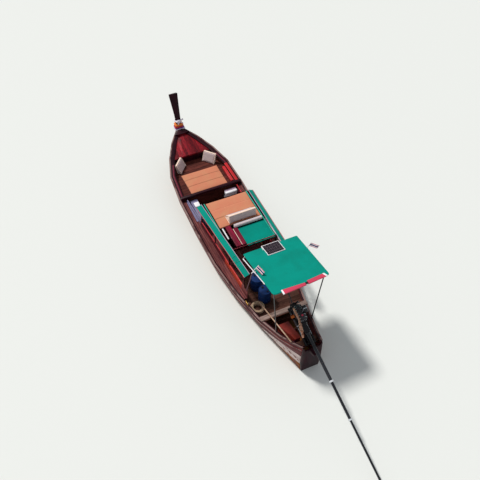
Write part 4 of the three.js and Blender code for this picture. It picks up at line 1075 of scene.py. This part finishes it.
# Canopy: side awnings, sun deck boards, rails and bench
AWNING_FORE, AWNING_AFT = 1.185, -2.060
AWNING_INNER, AWNING_OUTER = 0.811, 0.975
AWNING_RISE, AWNING_DRAW = 0.200, 0.125
CANOPY_POSTS = (1.1, 0.1, -0.88, -1.9)


def awning_point(u, v, side):
    """A point on an awning: u from its fore to its aft edge, v from its inner to its outer edge."""
    x = AWNING_FORE + (AWNING_AFT - AWNING_FORE) * u
    y = AWNING_INNER + (AWNING_OUTER - AWNING_INNER) * v - AWNING_DRAW * u
    z = 1.413 + AWNING_RISE * u - 0.071 * v
    away = min(abs(x - post) for post in CANOPY_POSTS)
    return Vector((x, side * y, z - 0.003 - 0.010 * (1 - math.exp(-away * 4)) * (0.3 + v)))


def make_awnings():
    for side, word in ((1, "port"), (-1, "starboard")):
        def place(u, v, side=side):
            point = awning_point(u, v, side)
            point.z += 0.0018 * noise.noise(Vector((point.x * 5, point.y * 22, side))) * (0.4 + v)
            return point
        sheet = grid(f"awning_cloth_{word}", 150, 10, place, 0.006)
        finish(sheet, teal_tarp, slot="teal_cloth", node=f"awning_{word}")
        outer = [awning_point(i / 40, 1, side) + Vector((0, 0, -0.002)) for i in range(41)]
        inner = [awning_point(i / 40, 0, side) + Vector((0, 0, 0.006)) for i in range(41)]
        trims = [
            finish(wire(f"awning_hem_{word}", outer, 0.011), trim_pink, slot="red_paint"),
            finish(wire(f"awning_batten_{word}", inner, 0.009), lavender_rail, slot="white_paint"),
        ]
        if side == 1:
            trims += make_lashings()
        cut_size(place)


def make_lashings():
    """Loops of light rope that tie the port awning down to its frame."""
    loops = []
    for k, x in enumerate((-1.26, -1.37, -1.48, -1.59)):
        u = (x - AWNING_FORE) / (AWNING_AFT - AWNING_FORE)
        inner, outer = awning_point(u, 0.08, 1), awning_point(u, 1, 1)
        slant = Vector((0.05 * (-1) ** k, 0, 0))
        up = Vector((0, 0, 0.014))
        points = [inner + up, inner.lerp(outer, 0.5) + up * 1.2 + slant, outer + up + slant * 0.4,
                  outer + Vector((0, 0.016, -0.010)), outer + Vector((0, -0.004, -0.034)), inner - up * 3]
        loops.append(finish(wire(f"awning_tie_{k}", points, 0.005), teal_rope, slot="rope_fibre"))
    return loops


make_awnings()


# The green lines beside the sun mat and the green floor mat, in metres across and along the boat
DECK_EDGE = (0.712, 0.742)
DECK_EDGE_AFT, DECK_EDGE_FORE = -0.920, 1.170
FLOOR_MAT_AFT, FLOOR_MAT_STARBOARD = -0.925, -0.725
FLOOR_MAT_WIDE, FLOOR_MAT_LONG = 0.915, 0.750


def make_sun_deck():
    deck = merged_copy("sun_deck", "sun_deck_boards")
    score(deck, [((0, y * 0.11, 0), (0, 1, 0)) for y in range(-6, 7)], 0.006, 0.006, under=DECK_Z + 0.01)
    finish(soften(deck, 0.003), foredeck_red, slot=slot_of["sun_deck"], node="sun_deck")
    assign(deck, trim_pink, lambda c, n: c.z > DECK_Z + 0.045)
    for side, word in ((1, "port"), (-1, "starboard")):
        low, high = sorted(side * y for y in DECK_EDGE)
        bottom, top = (DECK_EDGE_AFT, low, DECK_Z + 0.0005), (DECK_EDGE_FORE, high, DECK_Z + 0.014)
        edge = block(f"deck_edge_{word}", bottom, top, 0.004)
        finish(edge, teal_rope, slot="teal_cloth")

    def floor_place(u, v):
        x, y = FLOOR_MAT_AFT + FLOOR_MAT_LONG * u, FLOOR_MAT_STARBOARD + FLOOR_MAT_WIDE * v
        ripple = 0.0016 * noise.noise(Vector((x * 3.1, y * 2.3, 0.4)))
        return Vector((x, y, DECK_Z + 0.0075 + ripple))
    mat = grid("teal_deck_mat", 60, 70, floor_place, 0.004)
    finish(mat, teal_tarp, slot="teal_cloth", node="deck_mat")

    bench = merged_copy("deck_bench", "deck_bench_boards")
    finish(soften(bench, 0.005), bench_red, slot=slot_of["deck_bench"], node="deck_bench")
    line = block("bench_line", (-0.860, 0.3405, DECK_Z + 0.055), (-0.180, 0.3535, DECK_Z + 0.067), 0.002)
    finish(line, cushion_cream, slot="cushion_cloth")
    strip = block("deck_side_strip", (-0.470, 0.600, DECK_Z + 0.001), (-0.010, 0.640, DECK_Z + 0.030), 0.006)
    finish(strip, white_gloss, slot="white_paint")


make_sun_deck()


# Aft roof: tarp on its frame, solar panel, board and flags
ROOF_RUN = ROOF_FORE - ROOF_AFT
ROOF_LENGTH = ROOF_RUN.length
ROOF_PLACE = Matrix.Translation(ROOF_FORE) @ Matrix.Rotation(math.atan2(-ROOF_RUN.z, ROOF_RUN.x), 4, "Y")
ROOF_CORNER = 0.09


def roof_height(x):
    return ROOF_FORE.z + (ROOF_FORE.x - x) * (-ROOF_RUN.z) / ROOF_RUN.x


def make_roof():
    def place(u, v):
        run = ROOF_LENGTH * u
        left = ROOF_LENGTH - run
        half = ROOF_HALF
        if left < ROOF_CORNER:
            half -= ROOF_CORNER - math.sqrt(max(0.0, ROOF_CORNER ** 2 - (ROOF_CORNER - left) ** 2))
        y = (2 * v - 1) * half
        span = math.sin(math.pi * min(max((u - 0.16) / 0.68, 0), 1))
        sag = 0.012 * span * (1 - (2 * v - 1) ** 4)
        edge = 0.012 * abs(2 * v - 1) ** 24
        crease = 0.0018 * noise.noise(Vector((run * 3.0, y * 4.2, 2.0))) * span
        return ROOF_PLACE @ Vector((-run, y, -0.0012 - sag - edge + crease))
    tarp = grid("roof_tarp", 90, 90, place, 0.008)
    finish(tarp, teal_tarp, slot="teal_cloth", node="roof_panel")
    hem = [place(u, 1) for u in (0, 0.1, 0.3, 0.5, 0.7, 0.9, 0.952, 0.965, 0.98, 0.99, 1)]
    hem += [place(1, v) for v in (0.8, 0.6, 0.4, 0.2)]
    hem += [place(u, 0) for u in (1, 0.99, 0.98, 0.965, 0.952, 0.9, 0.7, 0.5, 0.3, 0.1, 0)]
    down = ROOF_PLACE.to_3x3() @ Vector((0, 0, -0.006))
    edge = wire("roof_hem", [p + down for p in hem], 0.009, 2, smooth=False)
    finish(edge, teal_tarp, slot="teal_cloth")
    frame_piece = soften(merged_copy("roof_frame", "roof_frame_finished"), 0.003)
    finish(frame_piece, white_gloss, slot=slot_of["roof_frame"], node="roof_frame")
    assign(frame_piece, tube_black, lambda c, n: c.x < -3.3 and c.z < roof_height(c.x) - 0.07)
    assign(frame_piece, post_mauve, lambda c, n: c.x > -2.52 and c.z < roof_height(c.x) - 0.07)


def roof_block(name, low, high, soft=0.0):
    """A block in the roof's own frame: x runs aft as negative and its top is at z = 0."""
    piece = block(name, low, high)
    piece.matrix_world = ROOF_PLACE
    settle(piece)
    return soften(piece, soft) if soft else piece


def make_roof_gear():
    frame_low, frame_high = (-0.400, -0.265, 0.001), (0.045, 0.265, 0.024)
    rim = roof_block("solar_frame", frame_low, frame_high)
    top = ROOF_PLACE.to_3x3() @ Vector((0, 0, 1))
    editing(rim)
    pick_faces(rim, lambda centre, normal: normal.dot(top) > 0.9)
    bpy.ops.mesh.inset(thickness=0.014)
    bpy.ops.mesh.extrude_region_move(TRANSFORM_OT_translate={"value": -top * 0.005})
    done_editing()
    finish(soften(rim, 0.0015), white_gloss, slot="solar_glass", node="solar_panel")

    def on_cells(u, v):
        return ROOF_PLACE @ Vector((-0.385 + 0.415 * u, -0.25 + 0.5 * v, 0.0215))
    finish(grid("solar_cells", 12, 24, on_cells, 0.0015), solar_cell, slot="solar_glass")
    route = [(0.030, 0.272, 0.012), (-0.030, 0.276, 0.008), (-0.110, 0.284, 0.006)]
    cable = wire("solar_cable", [ROOF_PLACE @ Vector(p) for p in route], 0.006)
    finish(cable, white_gloss, slot="white_paint")

    board = merged_copy("name_board", "name_board_panels")
    across = ROOF_PLACE.to_3x3() @ Vector((0, 1, 0))
    # where each white end and the dark joint begin, and the way across the board there
    edges = [(0.560, (0.06, 1)), (-0.085, (0, 1)), (-0.165, (0, 1)), (-0.690, (-0.35, 1))]
    editing(board)
    for y, (lean, straight) in edges:
        bpy.ops.mesh.select_all(action="SELECT")
        turned = ROOF_PLACE.to_3x3() @ Vector((lean, straight, 0))
        bpy.ops.mesh.bisect(plane_co=ROOF_PLACE @ Vector((-1.86, y, 0)), plane_no=turned)
    done_editing()
    soften(board, 0.003)
    finish(board, name_pink, slot="board_paint", node="name_board")
    to_roof = ROOF_PLACE.inverted()

    def on_board(centre):
        place = to_roof @ centre
        return place.y + 0.06 * (place.x + 1.86), place.y - 0.35 * (place.x + 1.86)
    assign(board, white_gloss, lambda c, n: on_board(c)[0] > 0.560 or on_board(c)[1] < -0.690)
    assign(board, oily_black, lambda c, n: -0.165 < across.dot(c) < -0.085)

    pole = bar("roof_side_tube", (-1.935, 0.848, 2.240), (-3.260, 0.848, 2.672), 0.013, 12)
    finish(pole, white_gloss, slot="white_paint")
    hangers = [bar(f"hanger_{k}", (x, 0.785, roof_height(x) - 0.040), (x, 0.848, z), 0.006, 8)
               for k, (x, z) in enumerate(((-1.950, 2.245), (-3.230, 2.662)))]
    finish(joined("roof_side_hangers", hangers), white_gloss, slot="white_paint")


FLAG_LONG, FLAG_DEEP = 0.270, 0.115
ROOF_SIDE = 0.7853


def make_flag(word, x, side, reach, staff_long, lean, fly, phase):
    """A striped flag that streams from a leaning staff, held off the roof's side by an arm."""
    foot = Vector((x, side * reach, roof_height(x) - 0.037))
    up = Vector((0, -side * math.sin(math.radians(lean)), math.cos(math.radians(lean))))
    away = Vector(fly).normalized()
    across = away.cross(up).normalized()

    def place(u, v):
        wave = 0.007 * math.sin(2 * math.pi * (1.3 * u + 0.12 * v) + phase) * min(1, 4 * u)
        rise = staff_long - FLAG_DEEP - 0.008 + FLAG_DEEP * v
        return foot + up * rise + away * (0.004 + (FLAG_LONG - 0.008) * u) + across * wave
    cloth_piece = grid(f"flag_{word}_cloth", 32, 16, place, 0.0016)
    finish(cloth_piece, flag_stripes, slot="flag_cloth")
    head = foot + up * staff_long
    parts = [
        bar(f"staff_{word}", foot, head, 0.0075, 12),
        bar(f"tip_{word}", head - up * 0.006, head, 0.0095, 12, 0.005),
        bar(f"arm_{word}", (x, side * ROOF_SIDE, foot.z), (x, side * (reach + 0.010), foot.z), 0.0095, 12),
    ]
    finish(joined(f"flag_{word}_staff", parts), white_gloss, slot="white_paint", node=f"flag_{word}")
    cut_size(place)


make_roof()
make_roof_gear()
make_flag("port", -2.700, 1, 0.960, 0.310, 40, (-310, -83, -27), 0.4)
make_flag("starboard", -2.500, -1, 0.860, 0.200, -30, (-270, -170, 60), 1.9)


# Hull trim: pale guards on the rub rails, lines along the gunwales
def side_line(name, reach, out, drop, wide, high, material, side, slot="hull_paint"):
    """A strip along the sheer: out from the hull's side, drop below the sheer, its section wide and high."""
    def corner(along, across, up):
        sheer, knuckle = (hull_point(line, along / 11) for line in (SHEER, KNUCKLE))
        down = max(0.0, drop - up)
        place = sheer.lerp(knuckle, down / (sheer.z - knuckle.z))
        return Vector((place.x, side * (place.y + out + across), sheer.z - drop + up))
    rings = [[corner(a, *c) for c in ((0, 0), (wide, 0), (wide, high), (0, high))] for a in reach]
    mesh = bpy.data.meshes.new(name)
    corners = [p for ring in rings for p in ring]
    faces = [(r * 4 + k, r * 4 + (k + 1) % 4, r * 4 + 4 + (k + 1) % 4, r * 4 + 4 + k)
             for r in range(len(rings) - 1) for k in range(4)]
    faces += [(3, 2, 1, 0), tuple(len(corners) - 4 + k for k in range(4))]
    mesh.from_pydata(corners, [], faces)
    piece = bpy.data.objects.new(name, mesh)
    bpy.context.scene.collection.objects.link(piece)
    editing(piece)
    bpy.ops.mesh.select_all(action="SELECT")
    bpy.ops.mesh.normals_make_consistent(inside=False)
    done_editing()
    return finish(soften(piece, 0.003), material, slot=slot)


def make_hull_lines():
    cap = -0.0395
    every = [k / 4 for k in range(0, 45)]
    for side, word in ((1, "port"), (-1, "starboard")):
        side_line(f"rub_guard_{word}", every, 0.018, 0.124, 0.010, 0.030, rail_pale, side)
        # A pale strip along each cap's outer edge is a painted highlight of the cap's lit edge
        side_line(f"gunwale_edge_highlight_{word}", every, -0.030, cap, 0.049, 0.004, rail_pale, side)
        bow = [2.4 + k / 5 for k in range(0, 9)]
        side_line(f"gunwale_line_{word}", bow, -0.138, cap, 0.050, 0.004, line_maroon, side, "red_paint")
    beside_seat = [3.1 + k * 0.15 for k in range(0, 7)]
    side_line("gunwale_beside_seat", beside_seat, -0.180, cap, 0.100, 0.005, seat_red, -1, "red_paint")


make_hull_lines()


# Stem: ribbons wound round it below the flared head
# columns: aft face x, forward face x, height, half width
STEM_ROWS = [(5.0003, 5.125, 1.140, 0.154), (5.040, 5.150, 1.235, 0.125), (5.078, 5.175, 1.335, 0.086),
             (5.225, 5.312, 1.690, 0.104)]


def stem_section(z):
    for low, high in zip(STEM_ROWS, STEM_ROWS[1:]):
        if z <= high[2] or high is STEM_ROWS[-1]:
            share = (z - low[2]) / (high[2] - low[2])
            return [a + (b - a) * share for a, b in zip(low, high)]


def ribbon_point(turn, z, out):
    """A point out from the stem's surface, turn round it in radians."""
    aft, fore, _, half = stem_section(z)
    c, s = math.cos(turn), math.sin(turn)
    a, b = (fore - aft) / 2 + out, half + out
    swell = (abs(c) ** 5 + abs(s) ** 5) ** -0.2
    return Vector(((aft + fore) / 2 + a * c * swell, b * s * swell, z - 0.25 * a * c * swell))


# columns: name, low, high, material, how far it stands out, folds
WRAPS = [
    ("white_low", 1.190, 1.250, ribbon_white, 0.062, 19),
    ("purple", 1.244, 1.284, ribbon_purple, 0.050, 15),
    ("red", 1.276, 1.314, ribbon_red, 0.054, 17),
    ("orange", 1.306, 1.376, ribbon_orange, 0.062, 18),
    ("lavender", 1.436, 1.496, ribbon_white, 0.030, 14),
]


def make_ribbons():
    for index, (word, low, high, material, out, folds) in enumerate(WRAPS):
        def place(u, v, low=low, high=high, out=out, folds=folds, index=index):
            turn = 2 * math.pi * u
            pucker = 0.005 * math.sin(folds * turn + 3 * v + index) + 0.004 * noise.noise(
                Vector((math.cos(turn) * 3, math.sin(turn) * 3, v * 2 + index)))
            bulge = 0.003 + out * math.sin(math.pi * v) ** 0.7 + pucker * math.sin(math.pi * v)
            slope = 0.012 * math.sin(turn + index * 1.7)
            point = ribbon_point(turn, low + (high - low) * v + slope, bulge)
            point.z += 0.35 * (point.x - 5.10) if index < 4 else 0
            return point
        wrap = grid(f"ribbon_{word}", 160, 12, place, 0.002)
        finish(wrap, material, slot="flag_cloth")
        cut_size(place)
    make_knot()


# columns: how far a loose tail reaches, its width, the way across it
TAILS = [
    (Vector((0.0, -0.17, 0.16)), 0.060, Vector((0.25, 0.1, 1)).normalized()),
    (Vector((-0.06, -0.15, 0.02)), 0.050, Vector((0.25, 0.1, 1)).normalized()),
    (Vector((-0.05, 0.03, -0.05)), 0.055, Vector((0.1, 1, 0.1)).normalized()),
]


def make_knot():
    """The white ribbon's knot on the stem's after side, with three loose tails."""
    centre = ribbon_point(math.pi * 0.98, 1.462, 0.045)
    bpy.ops.object.select_all(action="DESELECT")
    bpy.ops.mesh.primitive_uv_sphere_add(
        segments=24, ring_count=14, radius=0.066, location=centre, scale=(0.8, 1.35, 0.95))
    knot = settle(bpy.context.object)
    knot.name = "ribbon_knot"
    for vertex in knot.data.vertices:
        vertex.co += vertex.normal * 0.014 * noise.noise(vertex.co * 24)
    only(knot)
    bpy.ops.object.shade_smooth()
    finish(knot, ribbon_white, slot="flag_cloth")
    for k, (reach, width, across) in enumerate(TAILS):
        def place(u, v, reach=reach, width=width, across=across, k=k):
            drop = Vector((0, 0, -0.10 * u * u))
            wave = Vector((0.012 * math.sin(6 * u + k), 0, 0.006 * math.sin(9 * u)))
            return centre + reach * u + drop + wave + across * width * (v - 0.5) * (0.4 + 0.8 * u)
        tail = grid(f"ribbon_tail_{k}", 24, 6, place, 0.0015)
        finish(tail, ribbon_white, slot="flag_cloth")
        cut_size(place)


make_ribbons()


def make_breasthook():
    """The dark plate that ties the gunwale caps together behind the stem."""
    def place(u, v):
        off_middle = 2 * v - 1
        x = 4.972 - (0.190 - 0.05 * off_middle ** 2) * u
        half, height = sheer_at(x)
        return Vector((x, off_middle * (half - 0.012), height + 0.0525 + 0.030 * (1 - off_middle ** 2)))
    finish(soften(grid("breasthook", 8, 12, place, 0.018), 0.003), dark_varnish, slot="dark_varnish")


make_breasthook()


# Well and bow lounge: boxes and seat
def make_boxes():
    step = merged_copy("step_box", "step_box_shell")
    score(step, [((0, 0, 0.520), (0, 0, 1))], 0.006, 0.006, facing=(-1, 0, 0))
    finish(soften(step, 0.003), white_gloss, slot=slot_of["step_box"], node="step_box")
    # The lid is white; its fore half is painted lavender grey as painted shade, the crossbeam's shadow on it
    lid_white_and_painted_shade = [("aft", 2.022, 2.108, white_gloss), ("fore", 2.110, 2.188, lavender_rail)]
    for word, aft, fore, material in lid_white_and_painted_shade:
        lid = block(f"step_box_lid_{word}", (aft, -0.828, 0.598), (fore, -0.432, 0.612), 0.006)
        finish(lid, material, slot="white_paint")
    small = block("small_box", (1.820, 0.585, 0.6005), (2.020, 0.755, 0.665), 0.010)
    finish(small, white_gloss, slot="white_paint")
    for k, x in enumerate((1.60, 1.90)):
        line = block(f"locker_lid_{k}", (x - 0.004, 0.566, 0.599), (x + 0.004, 0.794, 0.6015))
        finish(line, oily_black, slot="black_iron")
    for k, y in enumerate((-0.857, -0.8235, -0.790)):
        welt = bar(f"seat_welt_{k}", (2.412, y, 0.7385), (3.138, y, 0.7385), 0.005, 8)
        finish(welt, bright_red, slot="red_paint")


make_boxes()


DRUM_RADIUS, DRUM_TALL = 0.178, 0.470
DRUMS = [("forward", -1.740, 0.270), ("aft", -2.240, 0.250)]


def make_drum_caps():
    for word, x, y in DRUMS:
        top = AFT_DECK_Z + 0.0003 + DRUM_TALL
        ring = ring_points(lambda u, v: (x + u, y + v, top + 0.001), DRUM_RADIUS, 48)
        rim = wire(f"drum_rim_{word}", ring, 0.008, 2, smooth=False, cyclic=True)
        finish(rim, drum_blue, slot="blue_plastic")
        bungs = [bar(f"bung_{k}", (x + dx, y + dy, top), (x + dx, y + dy, top + 0.022), r, 20)
                 for k, (dx, dy, r) in enumerate(((0.10, 0.03, 0.034), (-0.10, -0.04, 0.024)))]
        finish(joined(f"drum_bungs_{word}", bungs), oily_black, slot="black_iron")


make_drum_caps()


# Engine: what is bolted on round the block, in the engine's own frame
ENGINE_PLACE = Matrix.Translation(PIVOT) @ Matrix.Rotation(-TAIL_SLOPE, 4, "Y")


def on_engine(*points):
    return [ENGINE_PLACE @ Vector(p) for p in points]


def engine_bar(name, start, end, radius, material, sides=16, slot="black_iron"):
    return finish(bar(name, *on_engine(start, end), radius, sides), material, "engine", slot)


def engine_wire(name, points, radius, material, slot="black_iron", cyclic=False, smooth=True):
    return finish(wire(name, on_engine(*points), radius, 2, smooth, cyclic), material, "engine", slot)


def engine_block_at(name, low, high, material, soft=0.004, slot="black_iron"):
    piece = block(name, low, high)
    piece.matrix_world = ENGINE_PLACE
    return finish(soften(settle(piece), soft), material, "engine", slot)


def round_belt(circles, count=40):
    """The tight loop round some circles, each (y, z, radius): the outermost of their points, in order."""
    points = set()
    for y, z, radius in circles:
        for i in range(count):
            turn = 2 * math.pi * i / count
            points.add((round(y + radius * math.cos(turn), 5), round(z + radius * math.sin(turn), 5)))

    def turns_in(a, b, c):
        return (b[0] - a[0]) * (c[1] - a[1]) - (b[1] - a[1]) * (c[0] - a[0]) <= 0

    def half(run):
        kept = []
        for p in run:
            while len(kept) > 1 and turns_in(kept[-2], kept[-1], p):
                kept.pop()
            kept.append(p)
        return kept[:-1]
    ordered = sorted(points)
    return half(ordered) + half(ordered[::-1])


STEEL = "engine_steel"

# Crank, fan and alternator pulleys. columns: y, z, radius
PULLEYS = [(0, 0.097, 0.074), (0, 0.205, 0.048), (-0.150, 0.060, 0.050)]

# Turned fittings. columns: name, start, end, radius, sides, material, slot
FITTINGS = [
    ("alternator_pulley", (0.868, -0.150, 0.060), (0.890, -0.150, 0.060), 0.047, 24, zinc_white, STEEL),
    ("oil_cap", (0.50, 0, 0.352), (0.50, 0, 0.380), 0.026, 20, name_pink, STEEL),
    ("oil_filter", (0.640, 0.112, 0.060), (0.640, 0.205, 0.040), 0.044, 24, filter_orange, "red_paint"),
    ("starter_motor", (0.345, 0.150, 0.055), (0.540, 0.150, 0.055), 0.042, 24, engine_grey, STEEL),
    ("starter_nose", (0.3315, 0.150, 0.055), (0.345, 0.150, 0.055), 0.034, 20, zinc_white, STEEL),
    ("air_filter_band", (0.640, -0.160, 0.330), (0.660, -0.160, 0.330), 0.065, 28, zinc_white, STEEL),
    ("air_filter_nut", (0.740, -0.160, 0.330), (0.758, -0.160, 0.330), 0.014, 6, zinc_white, STEEL),
    ("tiller_grip", (1.300, 0, 0.1465), (1.424, 0, 0.153), 0.0245, 20, rubber, "black_iron"),
    ("rail_rod_0", (0.020, 0.140, -0.018), (0.300, 0.140, -0.018), 0.007, 10, zinc_white, STEEL),
    ("rail_rod_1", (0.020, -0.140, -0.018), (0.300, -0.140, -0.018), 0.007, 10, zinc_white, STEEL),
]

# Hoses and cables, each a smooth line through its points. columns: name, radius, material, points
HOSES = [
    ("top_hose", 0.019, rubber, [
        (0.845, 0.030, 0.270), (0.885, 0.060, 0.275), (0.905, 0.115, 0.220),
        (0.880, 0.150, 0.120), (0.800, 0.150, 0.040), (0.720, 0.118, 0.020)]),
    ("fuel_hose", 0.007, rubber, [
        (0.450, -0.168, 0.120), (0.330, -0.190, 0.130), (0.230, -0.140, 0.190), (0.180, -0.060, 0.184)]),
    ("wiring", 0.006, rubber, [
        (0.700, -0.200, 0.090), (0.560, -0.185, 0.190), (0.400, -0.140, 0.235), (0.250, -0.070, 0.190)]),
    ("throttle_cable", 0.004, oily_black, [
        (1.300, 0.020, 0.150), (1.150, 0.050, 0.120), (1.000, 0.080, 0.060),
        (0.900, -0.020, -0.014), (0.700, -0.190, -0.012), (0.600, -0.175, 0.070)]),
]


def make_fittings():
    for name, start, end, radius, sides, material, slot in FITTINGS:
        engine_bar(name, start, end, radius, material, sides, slot=slot)
    for name, radius, material, points in HOSES:
        engine_wire(name, points, radius, material)
    for k, x in enumerate((0.872, 0.882)):
        loop = [(x, y, z) for y, z in round_belt(PULLEYS)]
        engine_wire(f"fan_belt_{k}", loop, 0.005, rubber, cyclic=True, smooth=False)
    start, end = Vector((0.300, 0.156, 0.312)), Vector((0.090, 0.214, 0.335))
    for k, x in enumerate((0.265, 0.115)):
        along = (start.x - x) / (start.x - end.x)
        here, after = start.lerp(end, along), start.lerp(end, along + 0.06)
        engine_bar(f"silencer_band_{k}", here, after, 0.0465, oily_black, 24)
    places = [(x, y) for y in (0.141, -0.141) for x in (0.385, 0.455, 0.725, 0.795)]
    for k, (x, y) in enumerate(places):
        low, high = (x, y, 0.011), (x, y, 0.026)
        engine_bar(f"mount_bolt_{k}", low, high, 0.010, zinc_white, 6, slot=STEEL)


make_fittings()


def make_head_gear():
    """Bolts and ribs on the cylinder head, the injection pump and its pipes, and the small blocks."""
    bolts = []
    for k, x in enumerate((0.37, 0.82)):
        for j, y in enumerate((-0.07, -0.025, 0.025, 0.07)):
            bolts.append(bar(f"b{k}{j}", *on_engine((x, y, 0.296), (x, y, 0.308)), 0.009, 6))
    for k, x in enumerate((0.45, 0.53, 0.61, 0.69, 0.77)):
        for j, y in enumerate((-0.074, 0.074)):
            bolts.append(bar(f"c{k}{j}", *on_engine((x, y, 0.294), (x, y, 0.307)), 0.009, 6))
    finish(joined("head_bolts", bolts), zinc_white, "engine", STEEL)
    ribs = []
    for k, x in enumerate((0.42, 0.48, 0.54, 0.60, 0.66, 0.72, 0.78)):
        rib = block(f"r{k}", (x - 0.006, -0.050, 0.350), (x + 0.006, 0.050, 0.357))
        rib.matrix_world = ENGINE_PLACE
        ribs.append(settle(rib))
    finish(soften(joined("cover_ribs", ribs), 0.002), engine_grey, "engine", STEEL)
    low, high = (0.420, -0.165, 0.055), (0.610, -0.114, 0.150)
    engine_block_at("injection_pump", low, high, engine_grey, 0.008, STEEL)
    for k, x in enumerate((0.44, 0.53, 0.62, 0.71)):
        foot = 0.44 + 0.045 * k
        pipe = [(foot, -0.140, 0.150), (foot, -0.150, 0.215), (x - 0.02, -0.120, 0.292),
                (x, -0.100, 0.325), (x, -0.072, 0.330), (x, -0.060, 0.305)]
        engine_wire(f"injector_pipe_{k}", pipe, 0.0045, zinc_white, STEEL)
        low, high = (x, -0.060, 0.296), (x, -0.060, 0.325)
        engine_bar(f"injector_{k}", low, high, 0.012, zinc_white, 12, slot=STEEL)
    engine_block_at("starter_bracket", (0.380, 0.1125, 0.030), (0.430, 0.150, 0.080), oily_black)
    for k, x in enumerate((0.45, 0.60, 0.75)):
        low, high = (x - 0.035, 0.0845, 0.236), (x + 0.035, 0.094, 0.294)
        engine_block_at(f"manifold_flange_{k}", low, high, rusty_pipe, 0.002, "rusty_steel")


make_head_gear()


# columns: fore end, aft end, radius
COUPLINGS = [(-1.380, -1.430, 0.0605), (-2.480, -2.525, 0.0515)]
CLAMPS = [
    (-0.30, -0.322, 0.050), (-0.85, -0.872, 0.050), (-1.90, -1.922, 0.042),
    (-3.20, -3.222, 0.034), (-4.10, -4.122, 0.034),
]


def make_tail_gear():
    """Pale couplings on the tail tube's collars, and clamps that hold its stay."""
    kinds = [("coupling", COUPLINGS, zinc_white, 32), ("clamp", CLAMPS, engine_grey, 28)]
    for name, rings, material, sides in kinds:
        for k, (fore, aft, radius) in enumerate(rings):
            start, end = (fore, 0, SHAFT_LINE), (aft, 0, SHAFT_LINE)
            engine_bar(f"tail_{name}_{k}", start, end, radius, material, sides, slot=STEEL)


make_tail_gear()


def make_floor():
    """A pale floor at the waterline, open where the hull stands in it."""
    bpy.ops.object.select_all(action="DESELECT")
    bpy.ops.mesh.primitive_plane_add(size=160, location=(0, 0, 0))
    floor = bpy.context.object
    floor.name = "floor"
    inset = 0.016
    half = []
    for along in range(0, 221):
        knuckle, bilge = hull_point(KNUCKLE, along / 220), hull_point(BILGE, along / 220)
        if bilge.z < 0:
            point = bilge.lerp(knuckle, -bilge.z / (knuckle.z - bilge.z))
            half.append((point.x, point.y - inset))
    outline = [(4.02, 0.0), *half, *[(x, -y) for x, y in reversed(half)]]
    mesh = bpy.data.meshes.new("well")
    count = len(outline)
    corners = [(x, y, z) for z in (-1.0, 1.0) for x, y in outline]
    faces = [tuple(range(count)), tuple(range(2 * count - 1, count - 1, -1))]
    faces += [(i, i + count, (i + 1) % count + count, (i + 1) % count) for i in range(count)]
    mesh.from_pydata(corners, [], faces)
    plug = bpy.data.objects.new("well", mesh)
    bpy.context.scene.collection.objects.link(plug)
    editing(plug)
    bpy.ops.mesh.select_all(action="SELECT")
    bpy.ops.mesh.normals_make_consistent(inside=False)
    done_editing()
    opening = floor.modifiers.new("opening", "BOOLEAN")
    opening.operation = "DIFFERENCE"
    opening.object = plug
    apply_modifiers(floor)
    bpy.data.objects.remove(plug)
    material, tree, surface = new_material("pale_floor", 0.7, specular=0.2)
    surface.inputs["Base Color"].default_value = tone("dfe2e0")
    floor.data.materials.append(material)


make_floor()


def make_light():
    """A broad key from ahead and to port, and an even pale sky."""
    scene = bpy.context.scene
    scene.view_settings.view_transform = "Standard"
    world = bpy.data.worlds.new("studio")
    scene.world = world
    world.use_nodes = True
    sky = world.node_tree.nodes["Background"]
    sky.inputs["Color"].default_value = (0.93, 0.96, 1.0, 1)
    sky.inputs["Strength"].default_value = 0.42
    towards_sun = Vector((0.55, 0.28, 0.85))
    bpy.ops.object.light_add(type="SUN", rotation=towards_sun.to_track_quat("Z", "Y").to_euler())
    key = bpy.context.object
    key.data.energy = 3.0
    key.data.angle = math.radians(9)
    key.data.color = (1.0, 0.97, 0.92)


make_light()
